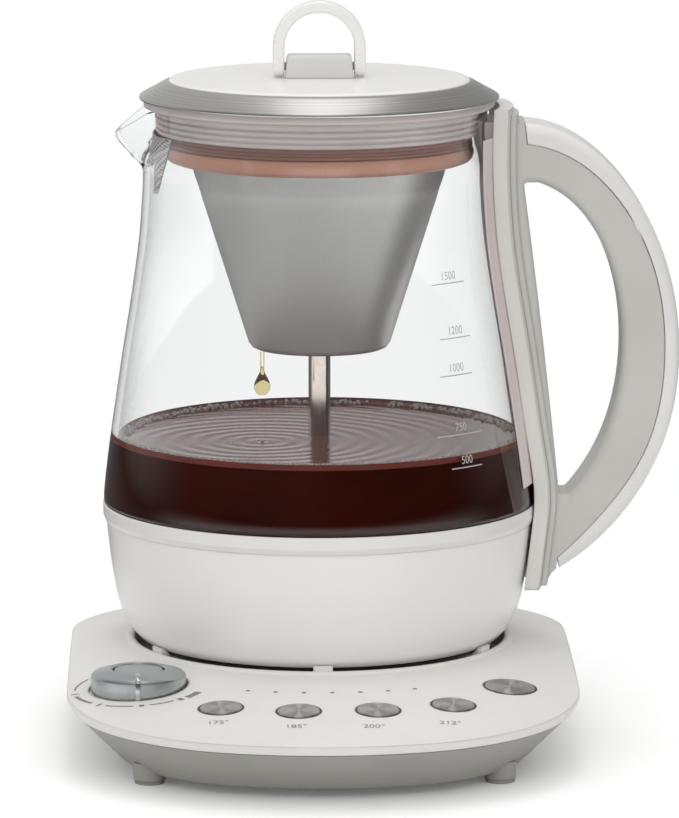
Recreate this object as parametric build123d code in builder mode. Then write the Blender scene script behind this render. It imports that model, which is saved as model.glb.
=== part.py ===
from build123d import *
from math import cos, degrees, hypot, radians, sin, sqrt, tan
import os

os.makedirs("parts", exist_ok=True)

# Automatic tea maker: a powered base with a sloping control deck, and a cordless
# glass jug with a heated floor, a D handle, a lid and a brewing basket.
# Millimetres and degrees. The origin is on the table under the jug's axis,
# +Z is up, +X points to the handle and -Y to the front with the controls.

# ---------------------------------------------------------------- dimensions

# Clearances
part_gap = 0.3            # between pieces that move against each other
seam_gap = 0.25           # visible line between two mouldings
seat_gap = 0.05           # between pieces that are screwed or bonded together
running_gap = 0.06        # radial, on pins and shafts

# Jug, main sizes
glass_radius = 78.5       # widest part of the glass
rim_radius = 61.0         # mouth of the glass
glass_foot_radius = glass_radius - 5.3
glass_height = 150.1
glass_wall = 2.5
shell_radius = glass_radius - 0.8
shell_foot_radius = glass_radius - 15.0
shell_height = 44.8
collar_radius = glass_radius + 0.4

# Base, plan
recess_radius = shell_foot_radius + 4.3
lip_width = 3.4
base_half_width = recess_radius + 23.2
base_front = recess_radius + 80.2        # jug axis to the middle of the front edge
base_back = recess_radius + 16.2
front_bow_radius = 130.0
front_corner_radius = 76.0
back_corner_radius = 60.0
base_wall = 2.2
cup_radius = recess_radius + base_wall

# Base, heights
deck_lip_height = 31.6    # deck at the edge of the jug recess
deck_slope = 6.5          # the deck falls away from the jug all round
deck_edge = 0.15          # upright face over the slanted band, at the front
parting_slope = 1.15      # the parting line climbs towards the back
rim_band = 3.4            # slanted band under the deck's edge
rim_undercut = 2.0
skirt_setback = 0.5
skirt_inset = 17.0        # how far the skirt draws in towards the table
skirt_bottom = 3.3
skirt_edge_radius = 5.0

# Jug recess in the base
recess_floor = deck_lip_height - 7.6
shell_bottom = deck_lip_height - 0.4     # the jug's resting plane
lip_rise = 1.1
lug_count = 6
lug_width = 7.0
lug_inner_radius = shell_foot_radius - 5.0
lug_rise = 3.2            # above the jug's resting plane

# Feet and base screws
foot_radius = 5.2
foot_pad = 1.4
foot_plug_radius = 3.4
foot_plug = 4.0
foot_boss_radius = 5.6
front_feet = (base_half_width - 29.5, 47.0 - base_front)
rear_feet = (base_half_width - 39.0, base_back - 42.0)
post_radius = 4.0
base_screw_circle = cup_radius - 11.0
base_screw_joint = 13.0   # height where the two posts meet
screw_radius = 1.5
screw_head_radius = 2.9
screw_head = 2.0

# Dial knob
knob_x = 25.5 - base_half_width
knob_y = 75.0 - base_front
knob_seat = deck_lip_height - 5.4
knob_radius = 17.0
knob_side = 5.6
knob_height = 8.8
knob_shoulder = 2.6
knob_cap_radius = 8.7
pointer_width = 2.4
pointer_stand = 0.5       # how far the pointer stands off the ring
pointer_depth = 1.3       # how deep it is let into the ring
encoder_size = 12.0
encoder_height = 6.4
shaft_radius = 3.0

# Push buttons
button_circle = base_front - 38.0
button_pitch = 14.5       # angle between neighbours
button_centre = 2.4       # angle of the middle of the row, from the front
button_radius = 7.9
start_circle = base_front - 47.3
start_angle = 41.0
start_radius = 9.4
button_stand = 0.6
button_cap = 2.0
button_ring_gap = 0.3
button_travel = 0.8
sleeve_wall = 1.3
sleeve_depth = 5.0
plunger_radius = 2.4
plunger_flange = 1.0      # clip under the sleeve that keeps the button in
plunger_flange_radius = 3.4

# Indicator lights
light_circle = base_front - 58.0
light_count = 7
light_pitch = 10.0        # along the arc
light_centre = 1.8
light_radius = 0.75
light_bar_depth = 4.0
light_bar_width = 3.0
light_bar = 1.6
light_length = 13.0

# Boards and what stands on them
board = 1.6
control_board_height = deck_lip_height - 19.6
control_board_inner = cup_radius + 6.0
control_board_outer = base_front - 27.0
control_board_half_angle = 54.0
control_board_inset = 15.0
switch_size = 6.0
switch_height = 3.4
power_board_height = 9.0
power_board_length = 76.0
power_board_width = 46.0
power_board_y = base_back - 46.0
board_post_radius = 3.2
board_post_x = 33.0
board_post_y = 18.0
relay_length = 20.0
relay_width = 12.0
relay_height = 9.0
transformer_length = 22.0
transformer_height = 10.0
core_overhang = 2.5

# Socket and plug between base and jug
tower_radius = 16.5
tower_top = shell_bottom + 8.3
tower_bottom = recess_floor - 10.0
socket_flange = 2.0
socket_flange_radius = 22.0
pin_bore_radius = 2.6
pin_bore_depth = 12.5
groove_inner = 9.2
groove_outer = 11.4
groove_depth = 9.0
contact_wall = 0.6
pin_radius = 1.5
contact_ring_outer = 11.0
contact_ring_inner = 10.15
well_radius = 18.0
well_wall = 1.6
well_top = shell_bottom + 11.8
connector_face = tower_top + 1.5
connector_top = connector_face + 9.0
connector_flange = 2.0
connector_flange_radius = 24.0

# Cord gland at the back
gland_x = 34.0
gland_height = 13.5
gland_face = base_back - 4.0
gland_boss_radius = 7.6
gland_boss_length = 18.0
gland_radius = 5.6
gland_flange_radius = 7.0
gland_flange = 1.4
gland_bore_radius = 3.4
gland_length = 12.0

# Jug bowl (white shell) and floor
shell_top = shell_bottom + shell_height
shell_wall = 2.5
shell_opening = shell_foot_radius - 4.5
floor_cover = 2.0
floor_screw_circle = shell_opening - 6.0
floor_post_radius = 3.6
floor_post_top = well_top + 7.0
floor_rib = 2.0

# Glass and its collar
glass_foot = shell_top + 0.6
glass_rim = glass_foot + glass_height
glass_bond = 0.15         # adhesive between the glass and its collar
collar_top = shell_top + 6.6
collar_spigot_depth = 4.0

# Drawn spout
spout_base_x = 11.0 - rim_radius
spout_half_width = 24.0
spout_low = glass_rim - 28.7
spout_high = glass_rim + 3.3
spout_root_x = -rim_radius - 3.0         # underside of the spout at spout_root_height
spout_root_height = glass_rim - 21.7
spout_flare = 0.95        # outward run per unit of height
spout_tip_x = -rim_radius - 14.8
spout_drop = 9.5          # from the mouth down to the tip of the spout
spout_tip_height = glass_rim - spout_drop
spout_tip_radius = 4.0

# Strainer behind the spout
strainer_foot = spout_low - 3.0
strainer_top = spout_tip_height - 0.2
strainer_foot_x = 0.6 - rim_radius       # its middle line, leaning inwards a little
strainer_top_x = 1.8 - rim_radius
strainer_depth = 7.0      # from the middle line to its side edges
strainer_radius = 34.0
strainer_foot_radius = 1.8
strainer_sheet = 0.6

# Heater
plate_sheet = 1.0
plate_top = shell_top + 2.0
plate_radius = glass_foot_radius - 4.9
plate_flange_radius = glass_foot_radius - 0.2
plate_flange_height = shell_top - 2.0
spreader_radius = plate_radius - 12.3
spreader = 3.0
heater_circle = spreader_radius - 11.0
heater_radius = 3.7
heater_arc = 300.0
cold_pin_radius = 2.0
cold_pin_length = 10.0
cutout_radius = 8.0
cutout_height = 7.0
cutout_circle = 20.0
probe_radius = 3.2
probe_length = 13.0

# Handle
frame_sheet = 5.0
frame_half_width = 18.5
frame_gap = 1.0           # between the frame and the glass
frame_top = glass_rim + part_gap
frame_bottom = shell_bottom + 20.1
frame_corner_radius = 2.0
pad_half_width = 13.0
pad_top = frame_top - 5.0
pad_bottom = shell_top + 14.0
flange_sheet = 2.1
flange_half_width = 14.0
flange_top = frame_top - 2.5
handle_reach = (glass_radius + rim_radius) / 2 + 60.65
grip_half_width = 11.5
grip_top = frame_top - 5.5
grip_bottom = frame_bottom + 1.2
grip_edge_radius = 3.0
cover_edge_radius = 4.0
grip_screw_heights = (frame_top - 23.0, frame_bottom + 18.7)
grip_screw_head_x = glass_radius + 7.5
grip_screw_depth = 3.6    # how far the screws reach into the frame
frame_boss_height = frame_bottom + 10.7  # boss where the bowl is screwed to the frame
frame_boss_radius = 5.0

# Lid
lid_radius = rim_radius + 4.0
lid_sheet = 1.2
lid_bottom = glass_rim + part_gap
lid_edge_height = lid_bottom + 3.0
lid_lip_radius = lid_radius - 5.2
disc_radius = lid_radius - 10.6
disc_seat = lid_bottom + 9.0
disc_sheet = 1.0
disc_top = disc_seat + disc_sheet
disc_spigot_radius = disc_radius - 3.8
disc_spigot = 3.0
core_radius = disc_radius + 0.2
core_bottom = lid_bottom - 13.0
core_wall = 2.0
core_flange_radius = lid_radius - 2.2
core_flange = 1.0
core_post_radius = 8.0
lid_screw_seat = lid_bottom - 1.0
lid_screw_top = disc_seat - 0.6
core_skirt_depth = 5.4
core_skirt_wall = 2.1
gasket_top = lid_bottom - 0.2
gasket_bottom = gasket_top - 9.3

# Bail and its block
bail_half_width = 16.7
bail_leg = 4.1
bail_depth = 7.5
pivot_height = disc_top + bail_depth / 2 + 0.35
bail_top = pivot_height + 23.6
bail_pin_radius = 1.5
bail_pin_inset = 0.7
block_top = pivot_height + 4.3
block_taper = 0.7
block_half_depth = 4.6
block_edge_radius = 1.6

# Brewing basket
ring_radius = core_radius - part_gap
ring_bore = ring_radius - 6.7
ring_top = core_bottom - 1.0
ring_bottom = ring_top - 8.0
ring_round = 3.4
rim_height = ring_bottom + 2.4           # underside of the basket's rim
basket_rim_radius = ring_bore + 2.5
basket_root_radius = ring_bore - 0.8
basket_sheet = 0.8
basket_depth = 68.7
basket_bottom = rim_height - basket_depth
basket_floor_radius = basket_root_radius / 2
basket_corner = 2.4
tube_radius = 4.0
tube_bore = 3.0
tube_top = ring_bottom - 6.0
tube_bottom = plate_top + 18.0
tube_stop_radius = 7.0    # stop on the tube that the basket rests on
tube_stop = 2.0
bell_radius = 13.0
bell_bottom = plate_top + 12.0
bell_sheet = 1.2
spray_radius = 14.0
spray_top = tube_top + 5.0
spray_sheet = 1.0
spray_holes = 12
spray_hole_radius = 1.0


# ---------------------------------------------------------------- curves

def placed(shares, radii, heights):
    """Points of a curve, from shares of the way between two radii and two heights."""
    (near, far), (low, high) = radii, heights
    return [(near + across * (far - near), low + up * (high - low)) for across, up in shares]


# Jug outlines from the foot up: shares from the mouth's radius out to the widest
# one for the glass, and from the foot's radius out to the widest for the bowl.
glass_shares = [
    (0.9143, 0.0187), (0.9829, 0.04), (1, 0.066), (0.8743, 0.1892), (0.6, 0.4057),
    (0.4286, 0.529), (0.2514, 0.6755), (0.1714, 0.7955), (0.1429, 0.8554),
    (0, 0.9121), (-0.0286, 0.9554), (0, 1),
]
shell_shares = [
    (0, 0), (0.2113, 0.0603), (0.4155, 0.1406), (0.6761, 0.3147), (0.8521, 0.5982),
    (0.9577, 0.8661), (1, 1),
]
glass_curve = [(glass_foot_radius, glass_foot)]
glass_curve += placed(glass_shares, (rim_radius, glass_radius), (glass_foot, glass_rim))
shell_curve = placed(shell_shares, (shell_foot_radius, shell_radius), (shell_bottom, shell_top))

# The frame's inner face follows the bowl, the collar and the glass, then runs
# straight up beside the neck.
frame_neck_radius = glass_curve[8][0] + frame_gap
frame_curve = [
    (shell_radius - 1.5, frame_bottom), (shell_radius - 0.3, frame_boss_height),
    (shell_radius + 0.9, shell_top - 4.0), (collar_radius + 0.5, shell_top + 3.0),
    (glass_radius + 1.1, glass_curve[3][1] + 0.5),
    *[(radius + frame_gap, height) for radius, height in glass_curve[4:9]],
    (frame_neck_radius, frame_top),
]

# Handle from the side: shares of the way from the neck out to the handle's reach,
# and from the foot of the frame up to its top.
opening_arc_shares = [
    (0.2141, 0.8441), (0.4128, 0.7985), (0.5963, 0.6892),
    (0.6789, 0.5157), (0.5719, 0.3056), (0.3823, 0.1952),
]
opening_strut_shares = [(0.3364, 0.1952), (0.2508, 0.4906), (0.1315, 0.8441)]
parting_shares = [
    (0.1468, 0.9243), (0.3899, 0.8958), (0.659, 0.8065), (0.8624, 0.6528),
    (0.9144, 0.4764), (0.818, 0.2943), (0.604, 0.169), (0.3242, 0.062),
]
cover_shares = [
    (0.1376, 0.967), (0.3899, 0.9414), (0.659, 0.8594), (0.9113, 0.6927),
    (1, 0.5048), (0.9327, 0.3199), (0.7187, 0.1662), (0.3394, 0.0381),
]
grip_toe_shares = [(0.3211, 0.0404), (0.2951, 0.0313)]
handle_span = (frame_neck_radius, handle_reach), (frame_bottom, frame_top)
opening_arc = placed(opening_arc_shares, *handle_span)
opening_strut = placed(opening_strut_shares, *handle_span)
parting_curve = placed(parting_shares, *handle_span)
cover_curve = placed(cover_shares, *handle_span)
grip_toe = placed(grip_toe_shares, *handle_span)
opening_corner_radius = 3.0


def square_to(points, depth):
    """The points of a smooth curve, moved square to it by depth towards the axis."""
    moved = []
    for place, (radius, height) in enumerate(points):
        before = points[max(place - 1, 0)]
        after = points[min(place + 1, len(points) - 1)]
        out, up = after[0] - before[0], after[1] - before[1]
        length = hypot(out, up)
        moved.append((radius - depth * up / length, height + depth * out / length))
    return moved


def section(points):
    """Closed straight-sided outline in (radius, height), on the plane of +X and +Z."""
    with BuildSketch(Plane.XZ) as outline:
        with BuildLine():
            Polyline(*points, close=True)
        make_face()
    return outline.sketch


def wall_section(outer, depth):
    """Wall of even thickness behind a smooth outer curve."""
    inner = square_to(outer, depth)
    with BuildSketch(Plane.XZ) as outline:
        with BuildLine():
            outside = Spline(*outer)
            inside = Spline(*inner)
            Line(outside @ 0, inside @ 0)
            Line(outside @ 1, inside @ 1)
        make_face()
    return outline.sketch


def filled_section(curve):
    """Everything between the axis and a smooth curve."""
    with BuildSketch(Plane.XZ) as outline:
        with BuildLine():
            side = Spline(*curve)
            Polyline(side @ 1, (0, curve[-1][1]), (0, curve[0][1]), side @ 0)
        make_face()
    return outline.sketch


def radial_plane(angle):
    """Upright plane through the jug axis; angle counts from the front to the right."""
    turn = radians(angle)
    return Plane(origin=(0, 0, 0), x_dir=(sin(turn), -cos(turn), 0), z_dir=(-cos(turn), -sin(turn), 0))


def polar_point(radius, angle):
    """Plan point at a radius, with the angle counted from the front to the right."""
    return (radius * sin(radians(angle)), -radius * cos(radians(angle)))


# ---------------------------------------------------------------- base shapes

def plan_outline(plane, inset):
    """Plan of the base, with a bowed front and round corners, drawn in by inset."""
    half = base_half_width - inset
    front = base_front - inset
    back = base_back - inset
    bow = front_bow_radius - inset
    shoulder = bow - front - sqrt(bow**2 - half**2)
    with BuildSketch(plane) as plan:
        with BuildLine():
            ThreePointArc((-half, shoulder), (0, -front), (half, shoulder))
            Polyline((half, shoulder), (half, back), (-half, back), (-half, shoulder))
        make_face()
        fillet(plan.vertices().group_by(Axis.Y)[0], front_corner_radius - inset)
        fillet(plan.vertices().group_by(Axis.Y)[-1], back_corner_radius - inset)
    return plan.sketch


def deck_height(radius):
    """Height of the deck's upper surface at a distance from the jug axis."""
    return deck_lip_height - (radius - recess_radius - lip_width) * tan(radians(deck_slope))


parting_front_height = deck_height(base_front) - rim_band - deck_edge
parting = Plane(
    origin=(0, 0, parting_front_height + base_front * tan(radians(parting_slope))),
    x_dir=(1, 0, 0),
    z_dir=(0, -sin(radians(parting_slope)), cos(radians(parting_slope))),
)


def deck_plane(radius, angle, lift=0.0):
    """Plane square to the deck, lifted off its surface."""
    fall = radians(deck_slope)
    out_x, out_y = polar_point(1.0, angle)
    normal = Vector(out_x * sin(fall), out_y * sin(fall), cos(fall))
    foot = Vector(out_x * radius, out_y * radius, deck_height(radius))
    return Plane(origin=foot + normal * lift, x_dir=(-out_y, out_x, 0), z_dir=normal)


def deck_block(inset, drop):
    """Solid between the parting plane and the deck, drawn in and lowered."""
    reach = base_front + base_half_width
    foot = plan_outline(parting, rim_undercut + inset)
    edge = plan_outline(parting.offset(rim_band), inset)
    with BuildPart() as block:
        loft([foot, edge], ruled=True)
        extrude(edge, amount=deck_lip_height)
        revolve(
            section([(0, 0), (reach, 0), (reach, deck_height(reach) - drop), (0, deck_height(0) - drop)]),
            axis=Axis.Z,
            mode=Mode.INTERSECT,
        )
    return block.part


knob_well_radius = knob_radius + pointer_stand + part_gap
button_angles = [button_centre + button_pitch * (place - 1.5) for place in range(4)]
buttons = [
    (f"temperature_button_{place + 1}", button_circle, angle, button_radius)
    for place, angle in enumerate(button_angles)
]
buttons.append(("start_button", start_circle, start_angle, start_radius))
base_screw_angles = [45, 135, 225, 315]
light_step = degrees(light_pitch / light_circle)
light_angles = [light_centre + light_step * (place - (light_count - 1) / 2) for place in range(light_count)]

# Space under the deck: the cups, sleeves and posts are left standing in it.
with BuildPart() as deck_hollow:
    add(deck_block(base_wall, base_wall))
    with BuildSketch(Plane.XY):
        Circle(cup_radius)
    extrude(amount=2 * deck_lip_height, mode=Mode.SUBTRACT)
    with BuildSketch(Plane.XY.offset(knob_seat - base_wall)):
        with Locations((knob_x, knob_y)):
            Circle(knob_well_radius + base_wall)
    extrude(amount=deck_lip_height, mode=Mode.SUBTRACT)
    for name, circle, angle, radius in buttons:
        with BuildSketch(deck_plane(circle, angle, -sleeve_depth - base_wall)):
            Circle(radius + button_ring_gap + sleeve_wall)
        extrude(amount=deck_lip_height, mode=Mode.SUBTRACT)

# Top cover: one white moulding with the deck, the recess for the jug, the
# locating lugs and the wells for the knob, buttons and lights.
with BuildPart() as base_top_cover:
    add(deck_block(0, 0))
    add(deck_hollow.part, mode=Mode.SUBTRACT)
    with BuildSketch(Plane.XY.offset(recess_floor - base_wall)):
        Circle(cup_radius)
    extrude(amount=deck_lip_height - recess_floor + base_wall)
    revolve(
        section([
            (recess_radius, deck_lip_height - lip_rise),
            (recess_radius + lip_width, deck_lip_height - lip_rise),
            (recess_radius + lip_width, deck_lip_height),
            (recess_radius + 0.7 * lip_width, deck_lip_height + 0.8 * lip_rise),
            (recess_radius + 0.4 * lip_width, deck_lip_height + lip_rise),
            (recess_radius, deck_lip_height + 0.6 * lip_rise),
        ]),
        axis=Axis.Z,
    )
    with BuildSketch(Plane.XY.offset(recess_floor)):
        Circle(recess_radius)
    extrude(amount=deck_lip_height, mode=Mode.SUBTRACT)
    with BuildSketch(*[radial_plane(360 / lug_count * place) for place in range(lug_count)]):
        with BuildLine():
            Polyline(
                (lug_inner_radius, recess_floor - seat_gap),
                (lug_inner_radius, shell_bottom),
                (shell_curve[0][0] + 2 * part_gap, shell_bottom),
                (recess_radius - 0.4, shell_bottom + lug_rise),
                (recess_radius + 0.5, shell_bottom + lug_rise),
                (recess_radius + 0.5, recess_floor - seat_gap),
                close=True,
            )
        make_face()
    extrude(amount=lug_width / 2, both=True)
    with BuildSketch(Plane.XY.offset(base_screw_joint)):
        for angle in base_screw_angles:
            with Locations(polar_point(base_screw_circle, angle)):
                Circle(post_radius)
    extrude(amount=recess_floor - base_wall - base_screw_joint)
    with BuildSketch(Plane.XY.offset(base_screw_joint)):
        for angle in base_screw_angles:
            with Locations(polar_point(base_screw_circle, angle)):
                Circle(screw_radius)
    extrude(amount=recess_floor - 2 * base_wall - base_screw_joint, mode=Mode.SUBTRACT)
    with BuildSketch(Plane.XY):
        Circle(tower_radius + seat_gap)
    extrude(amount=deck_lip_height, mode=Mode.SUBTRACT)
    with BuildSketch(Plane.XY.offset(knob_seat)):
        with Locations((knob_x, knob_y)):
            Circle(knob_well_radius)
    extrude(amount=deck_lip_height, mode=Mode.SUBTRACT)
    with BuildSketch(Plane.XY):
        with Locations((knob_x, knob_y)):
            Circle(shaft_radius + part_gap)
    extrude(amount=deck_lip_height, mode=Mode.SUBTRACT)
    for name, circle, angle, radius in buttons:
        with BuildSketch(deck_plane(circle, angle, base_wall)):
            Circle(radius + button_ring_gap)
        extrude(amount=-base_wall - button_cap - button_travel - part_gap, mode=Mode.SUBTRACT)
        with BuildSketch(deck_plane(circle, angle, base_wall)):
            Circle(plunger_radius + running_gap)
        extrude(amount=-3 * sleeve_depth, mode=Mode.SUBTRACT)
    with BuildSketch(*[deck_plane(light_circle, angle, base_wall) for angle in light_angles]):
        Circle(light_radius + seat_gap)
    extrude(amount=-3 * base_wall, mode=Mode.SUBTRACT)
base_top_cover.part.label = "base_top_cover"
export_step(base_top_cover.part, "parts/base_top_cover.step")

# Skirt: the grey lower moulding, with a floor, screw posts, foot bosses and the
# round boss of the cord gland.
skirt_edge = rim_undercut + skirt_setback
skirt_floor = skirt_bottom + base_wall
foot_places = [(0, 0)] + [(side * x, y) for x, y in (front_feet, rear_feet) for side in (-1, 1)]
power_board_places = [
    (side * board_post_x, power_board_y + end * board_post_y) for side in (-1, 1) for end in (-1, 1)
]
control_post_angles = [-46, -12, 17, 46]
control_post_circle = control_board_inner + 2 * board_post_radius

with BuildPart() as skirt_hollow:
    loft(
        [
            plan_outline(Plane.XY.offset(skirt_floor), skirt_edge + skirt_inset + base_wall),
            plan_outline(parting, skirt_edge + base_wall),
        ],
        ruled=True,
    )
    with BuildSketch(Plane.XY):
        for angle in base_screw_angles:
            with Locations(polar_point(base_screw_circle, angle)):
                Circle(post_radius)
    extrude(amount=base_screw_joint - seat_gap, mode=Mode.SUBTRACT)
    with BuildSketch(Plane.XY):
        with Locations(*foot_places):
            Circle(foot_boss_radius)
    extrude(amount=foot_pad + foot_plug + base_wall, mode=Mode.SUBTRACT)
    with BuildSketch(Plane.XY):
        with Locations(*power_board_places):
            Circle(board_post_radius)
    extrude(amount=power_board_height - seat_gap, mode=Mode.SUBTRACT)
    with BuildSketch(Plane.XY):
        for angle in control_post_angles:
            with Locations(polar_point(control_post_circle, angle)):
                Circle(board_post_radius)
    extrude(amount=control_board_height - seat_gap, mode=Mode.SUBTRACT)
    with BuildSketch(Plane.XZ.offset(-gland_face)):
        with Locations((gland_x, gland_height)):
            Circle(gland_boss_radius)
    extrude(amount=gland_boss_length, mode=Mode.SUBTRACT)

with BuildPart() as base_skirt:
    loft(
        [
            plan_outline(Plane.XY.offset(skirt_bottom), skirt_edge + skirt_inset),
            plan_outline(parting.offset(-seam_gap), skirt_edge),
        ],
        ruled=True,
    )
    fillet(base_skirt.faces().sort_by(Axis.Z)[0].edges(), skirt_edge_radius)
    with BuildSketch(Plane.XY.offset(foot_pad)):
        with Locations(*foot_places):
            Circle(foot_boss_radius)
    extrude(amount=foot_plug + base_wall)
    with BuildSketch(Plane.XZ.offset(-gland_face)):
        with Locations((gland_x, gland_height)):
            Circle(gland_boss_radius)
    extrude(amount=gland_boss_length)
    add(skirt_hollow.part, mode=Mode.SUBTRACT)
    with BuildSketch(Plane.XY):
        with Locations(*foot_places):
            Circle(foot_plug_radius)
    extrude(amount=foot_pad + foot_plug, mode=Mode.SUBTRACT)
    with BuildSketch(Plane.XY):
        for angle in base_screw_angles:
            with Locations(polar_point(base_screw_circle, angle)):
                Circle(screw_radius + seat_gap)
    extrude(amount=base_screw_joint, mode=Mode.SUBTRACT)
    with BuildSketch(Plane.XY):
        for angle in base_screw_angles:
            with Locations(polar_point(base_screw_circle, angle)):
                Circle(screw_head_radius + seat_gap)
    extrude(amount=skirt_floor + screw_head, mode=Mode.SUBTRACT)
    with BuildSketch(Plane.XY.offset(power_board_height)):
        with Locations(*power_board_places):
            Circle(screw_radius)
    extrude(amount=-base_wall, mode=Mode.SUBTRACT)
    with BuildSketch(Plane.XY.offset(control_board_height)):
        for angle in control_post_angles:
            with Locations(polar_point(control_post_circle, angle)):
                Circle(screw_radius)
    extrude(amount=-2 * base_wall, mode=Mode.SUBTRACT)
    with BuildSketch(Plane.XZ.offset(-gland_face)):
        with Locations((gland_x, gland_height)):
            Circle(gland_radius + seat_gap)
    extrude(amount=gland_boss_length, mode=Mode.SUBTRACT)
base_skirt.part.label = "base_skirt"
export_step(base_skirt.part, "parts/base_skirt.step")

# Feet: soft pads whose plugs are pressed up into the skirt's bosses. The fifth, under
# the socket, takes the weight of the jug as it is set down.
with BuildPart() as rubber_feet:
    with Locations(*foot_places):
        Cylinder(foot_radius, foot_pad - seat_gap, align=(Align.CENTER, Align.CENTER, Align.MIN))
        Cylinder(foot_plug_radius - seat_gap, foot_pad + foot_plug - seat_gap,
                 align=(Align.CENTER, Align.CENTER, Align.MIN))
rubber_feet.part.label = "rubber_feet"
export_step(rubber_feet.part, "parts/rubber_feet.step")

# Screws that hold the two halves of the base together, driven from below.
with BuildPart() as base_screws:
    with BuildSketch(Plane.XY.offset(skirt_floor)):
        for angle in base_screw_angles:
            with Locations(polar_point(base_screw_circle, angle)):
                Circle(screw_head_radius)
    extrude(amount=screw_head)
    with BuildSketch(Plane.XY.offset(skirt_floor)):
        for angle in base_screw_angles:
            with Locations(polar_point(base_screw_circle, angle)):
                Circle(screw_radius - seat_gap)
    extrude(amount=recess_floor - 2 * base_wall - skirt_floor - part_gap)
base_screws.part.label = "base_screws"
export_step(base_screws.part, "parts/base_screws.step")

# Cord gland: a bush with a flange, at the back of the skirt.
with BuildPart() as cord_gland:
    with BuildSketch(Plane.XZ.offset(-gland_face - gland_flange)):
        with Locations((gland_x, gland_height)):
            Circle(gland_flange_radius)
    extrude(amount=gland_flange)
    with BuildSketch(Plane.XZ.offset(-gland_face)):
        with Locations((gland_x, gland_height)):
            Circle(gland_radius)
    extrude(amount=gland_length - gland_flange)
    with BuildSketch(Plane.XZ.offset(-gland_face - gland_flange)):
        with Locations((gland_x, gland_height)):
            Circle(gland_bore_radius)
    extrude(amount=gland_length, mode=Mode.SUBTRACT)
cord_gland.part.label = "cord_gland"
export_step(cord_gland.part, "parts/cord_gland.step")

# Socket tower: the plug of the jug comes down over it.
socket_seat = recess_floor - base_wall - seat_gap
with BuildPart() as socket_housing:
    with BuildSketch(Plane.XY.offset(tower_bottom)):
        Circle(tower_radius)
    extrude(amount=tower_top - tower_bottom)
    chamfer(socket_housing.edges().group_by(Axis.Z)[-1], 1.0)
    with BuildSketch(Plane.XY.offset(socket_seat - socket_flange)):
        Circle(socket_flange_radius)
    extrude(amount=socket_flange)
    with BuildSketch(Plane.XY.offset(tower_top)):
        Circle(pin_bore_radius)
    extrude(amount=-pin_bore_depth, mode=Mode.SUBTRACT)
    with BuildSketch(Plane.XY.offset(tower_top)):
        Circle(groove_outer)
        Circle(groove_inner, mode=Mode.SUBTRACT)
    extrude(amount=-groove_depth, mode=Mode.SUBTRACT)
socket_housing.part.label = "socket_housing"
export_step(socket_housing.part, "parts/socket_housing.step")

# Socket contacts: a sleeve round the pin and a ring in the groove.
with BuildPart() as socket_contacts:
    with BuildSketch(Plane.XY.offset(tower_top - pin_bore_depth)):
        Circle(pin_bore_radius - seat_gap)
        Circle(pin_bore_radius - seat_gap - contact_wall, mode=Mode.SUBTRACT)
    extrude(amount=pin_bore_depth - 1)
    with BuildSketch(Plane.XY.offset(tower_top - groove_depth)):
        Circle(groove_inner + seat_gap + contact_wall)
        Circle(groove_inner + seat_gap, mode=Mode.SUBTRACT)
    extrude(amount=groove_depth - 1)
socket_contacts.part.label = "socket_contacts"
export_step(socket_contacts.part, "parts/socket_contacts.step")

# Control board: a sector of circuit board under the buttons and lights.
with BuildPart() as control_board:
    with BuildSketch(Plane.XY.offset(control_board_height)):
        Circle(control_board_outer)
        Circle(control_board_inner, mode=Mode.SUBTRACT)
        with BuildLine():
            Polyline(
                (0, 0),
                polar_point(2 * control_board_outer, -control_board_half_angle),
                polar_point(3 * control_board_outer, 0),
                polar_point(2 * control_board_outer, control_board_half_angle),
                close=True,
            )
        make_face(mode=Mode.INTERSECT)
        for angle in control_post_angles:
            with Locations(polar_point(control_post_circle, angle)):
                Circle(screw_radius + seat_gap, mode=Mode.SUBTRACT)
    extrude(amount=board)
    inside_skirt = plan_outline(Plane.XY.offset(control_board_height), control_board_inset)
    extrude(inside_skirt, amount=board, mode=Mode.INTERSECT)
control_board.part.label = "control_board"
export_step(control_board.part, "parts/control_board.step")
control_board_top = control_board_height + board

# Tact switches under the buttons.
switch_places = []
for name, circle, angle, radius in buttons:
    shift = (deck_height(circle) - control_board_top) * sin(radians(deck_slope))
    switch_places.append(polar_point(circle - shift, angle))
with BuildPart() as button_switches:
    with BuildSketch(Plane.XY.offset(control_board_top)):
        with Locations(*switch_places):
            Rectangle(switch_size, switch_size)
    extrude(amount=switch_height)
button_switches.part.label = "button_switches"
export_step(button_switches.part, "parts/button_switches.step")

# Light guide: clear pins on one curved bar, carrying the light of the lamps on
# the board up to the deck.
with BuildPart() as light_guide:
    with BuildSketch(*[deck_plane(light_circle, angle, 0.0) for angle in light_angles]):
        Circle(light_radius)
    extrude(amount=-light_length)
    bar_height = deck_height(light_circle) - light_bar_depth
    with BuildSketch(Plane.XY.offset(bar_height)):
        Circle(light_circle + light_bar_width / 2)
        Circle(light_circle - light_bar_width / 2, mode=Mode.SUBTRACT)
        with BuildLine():
            Polyline(
                (0, 0),
                polar_point(2 * light_circle, light_angles[0] - light_step / 3),
                polar_point(2 * light_circle, light_angles[-1] + light_step / 3),
                close=True,
            )
        make_face(mode=Mode.INTERSECT)
    extrude(amount=-light_bar)
light_guide.part.label = "light_guide"
export_step(light_guide.part, "parts/light_guide.step")

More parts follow.
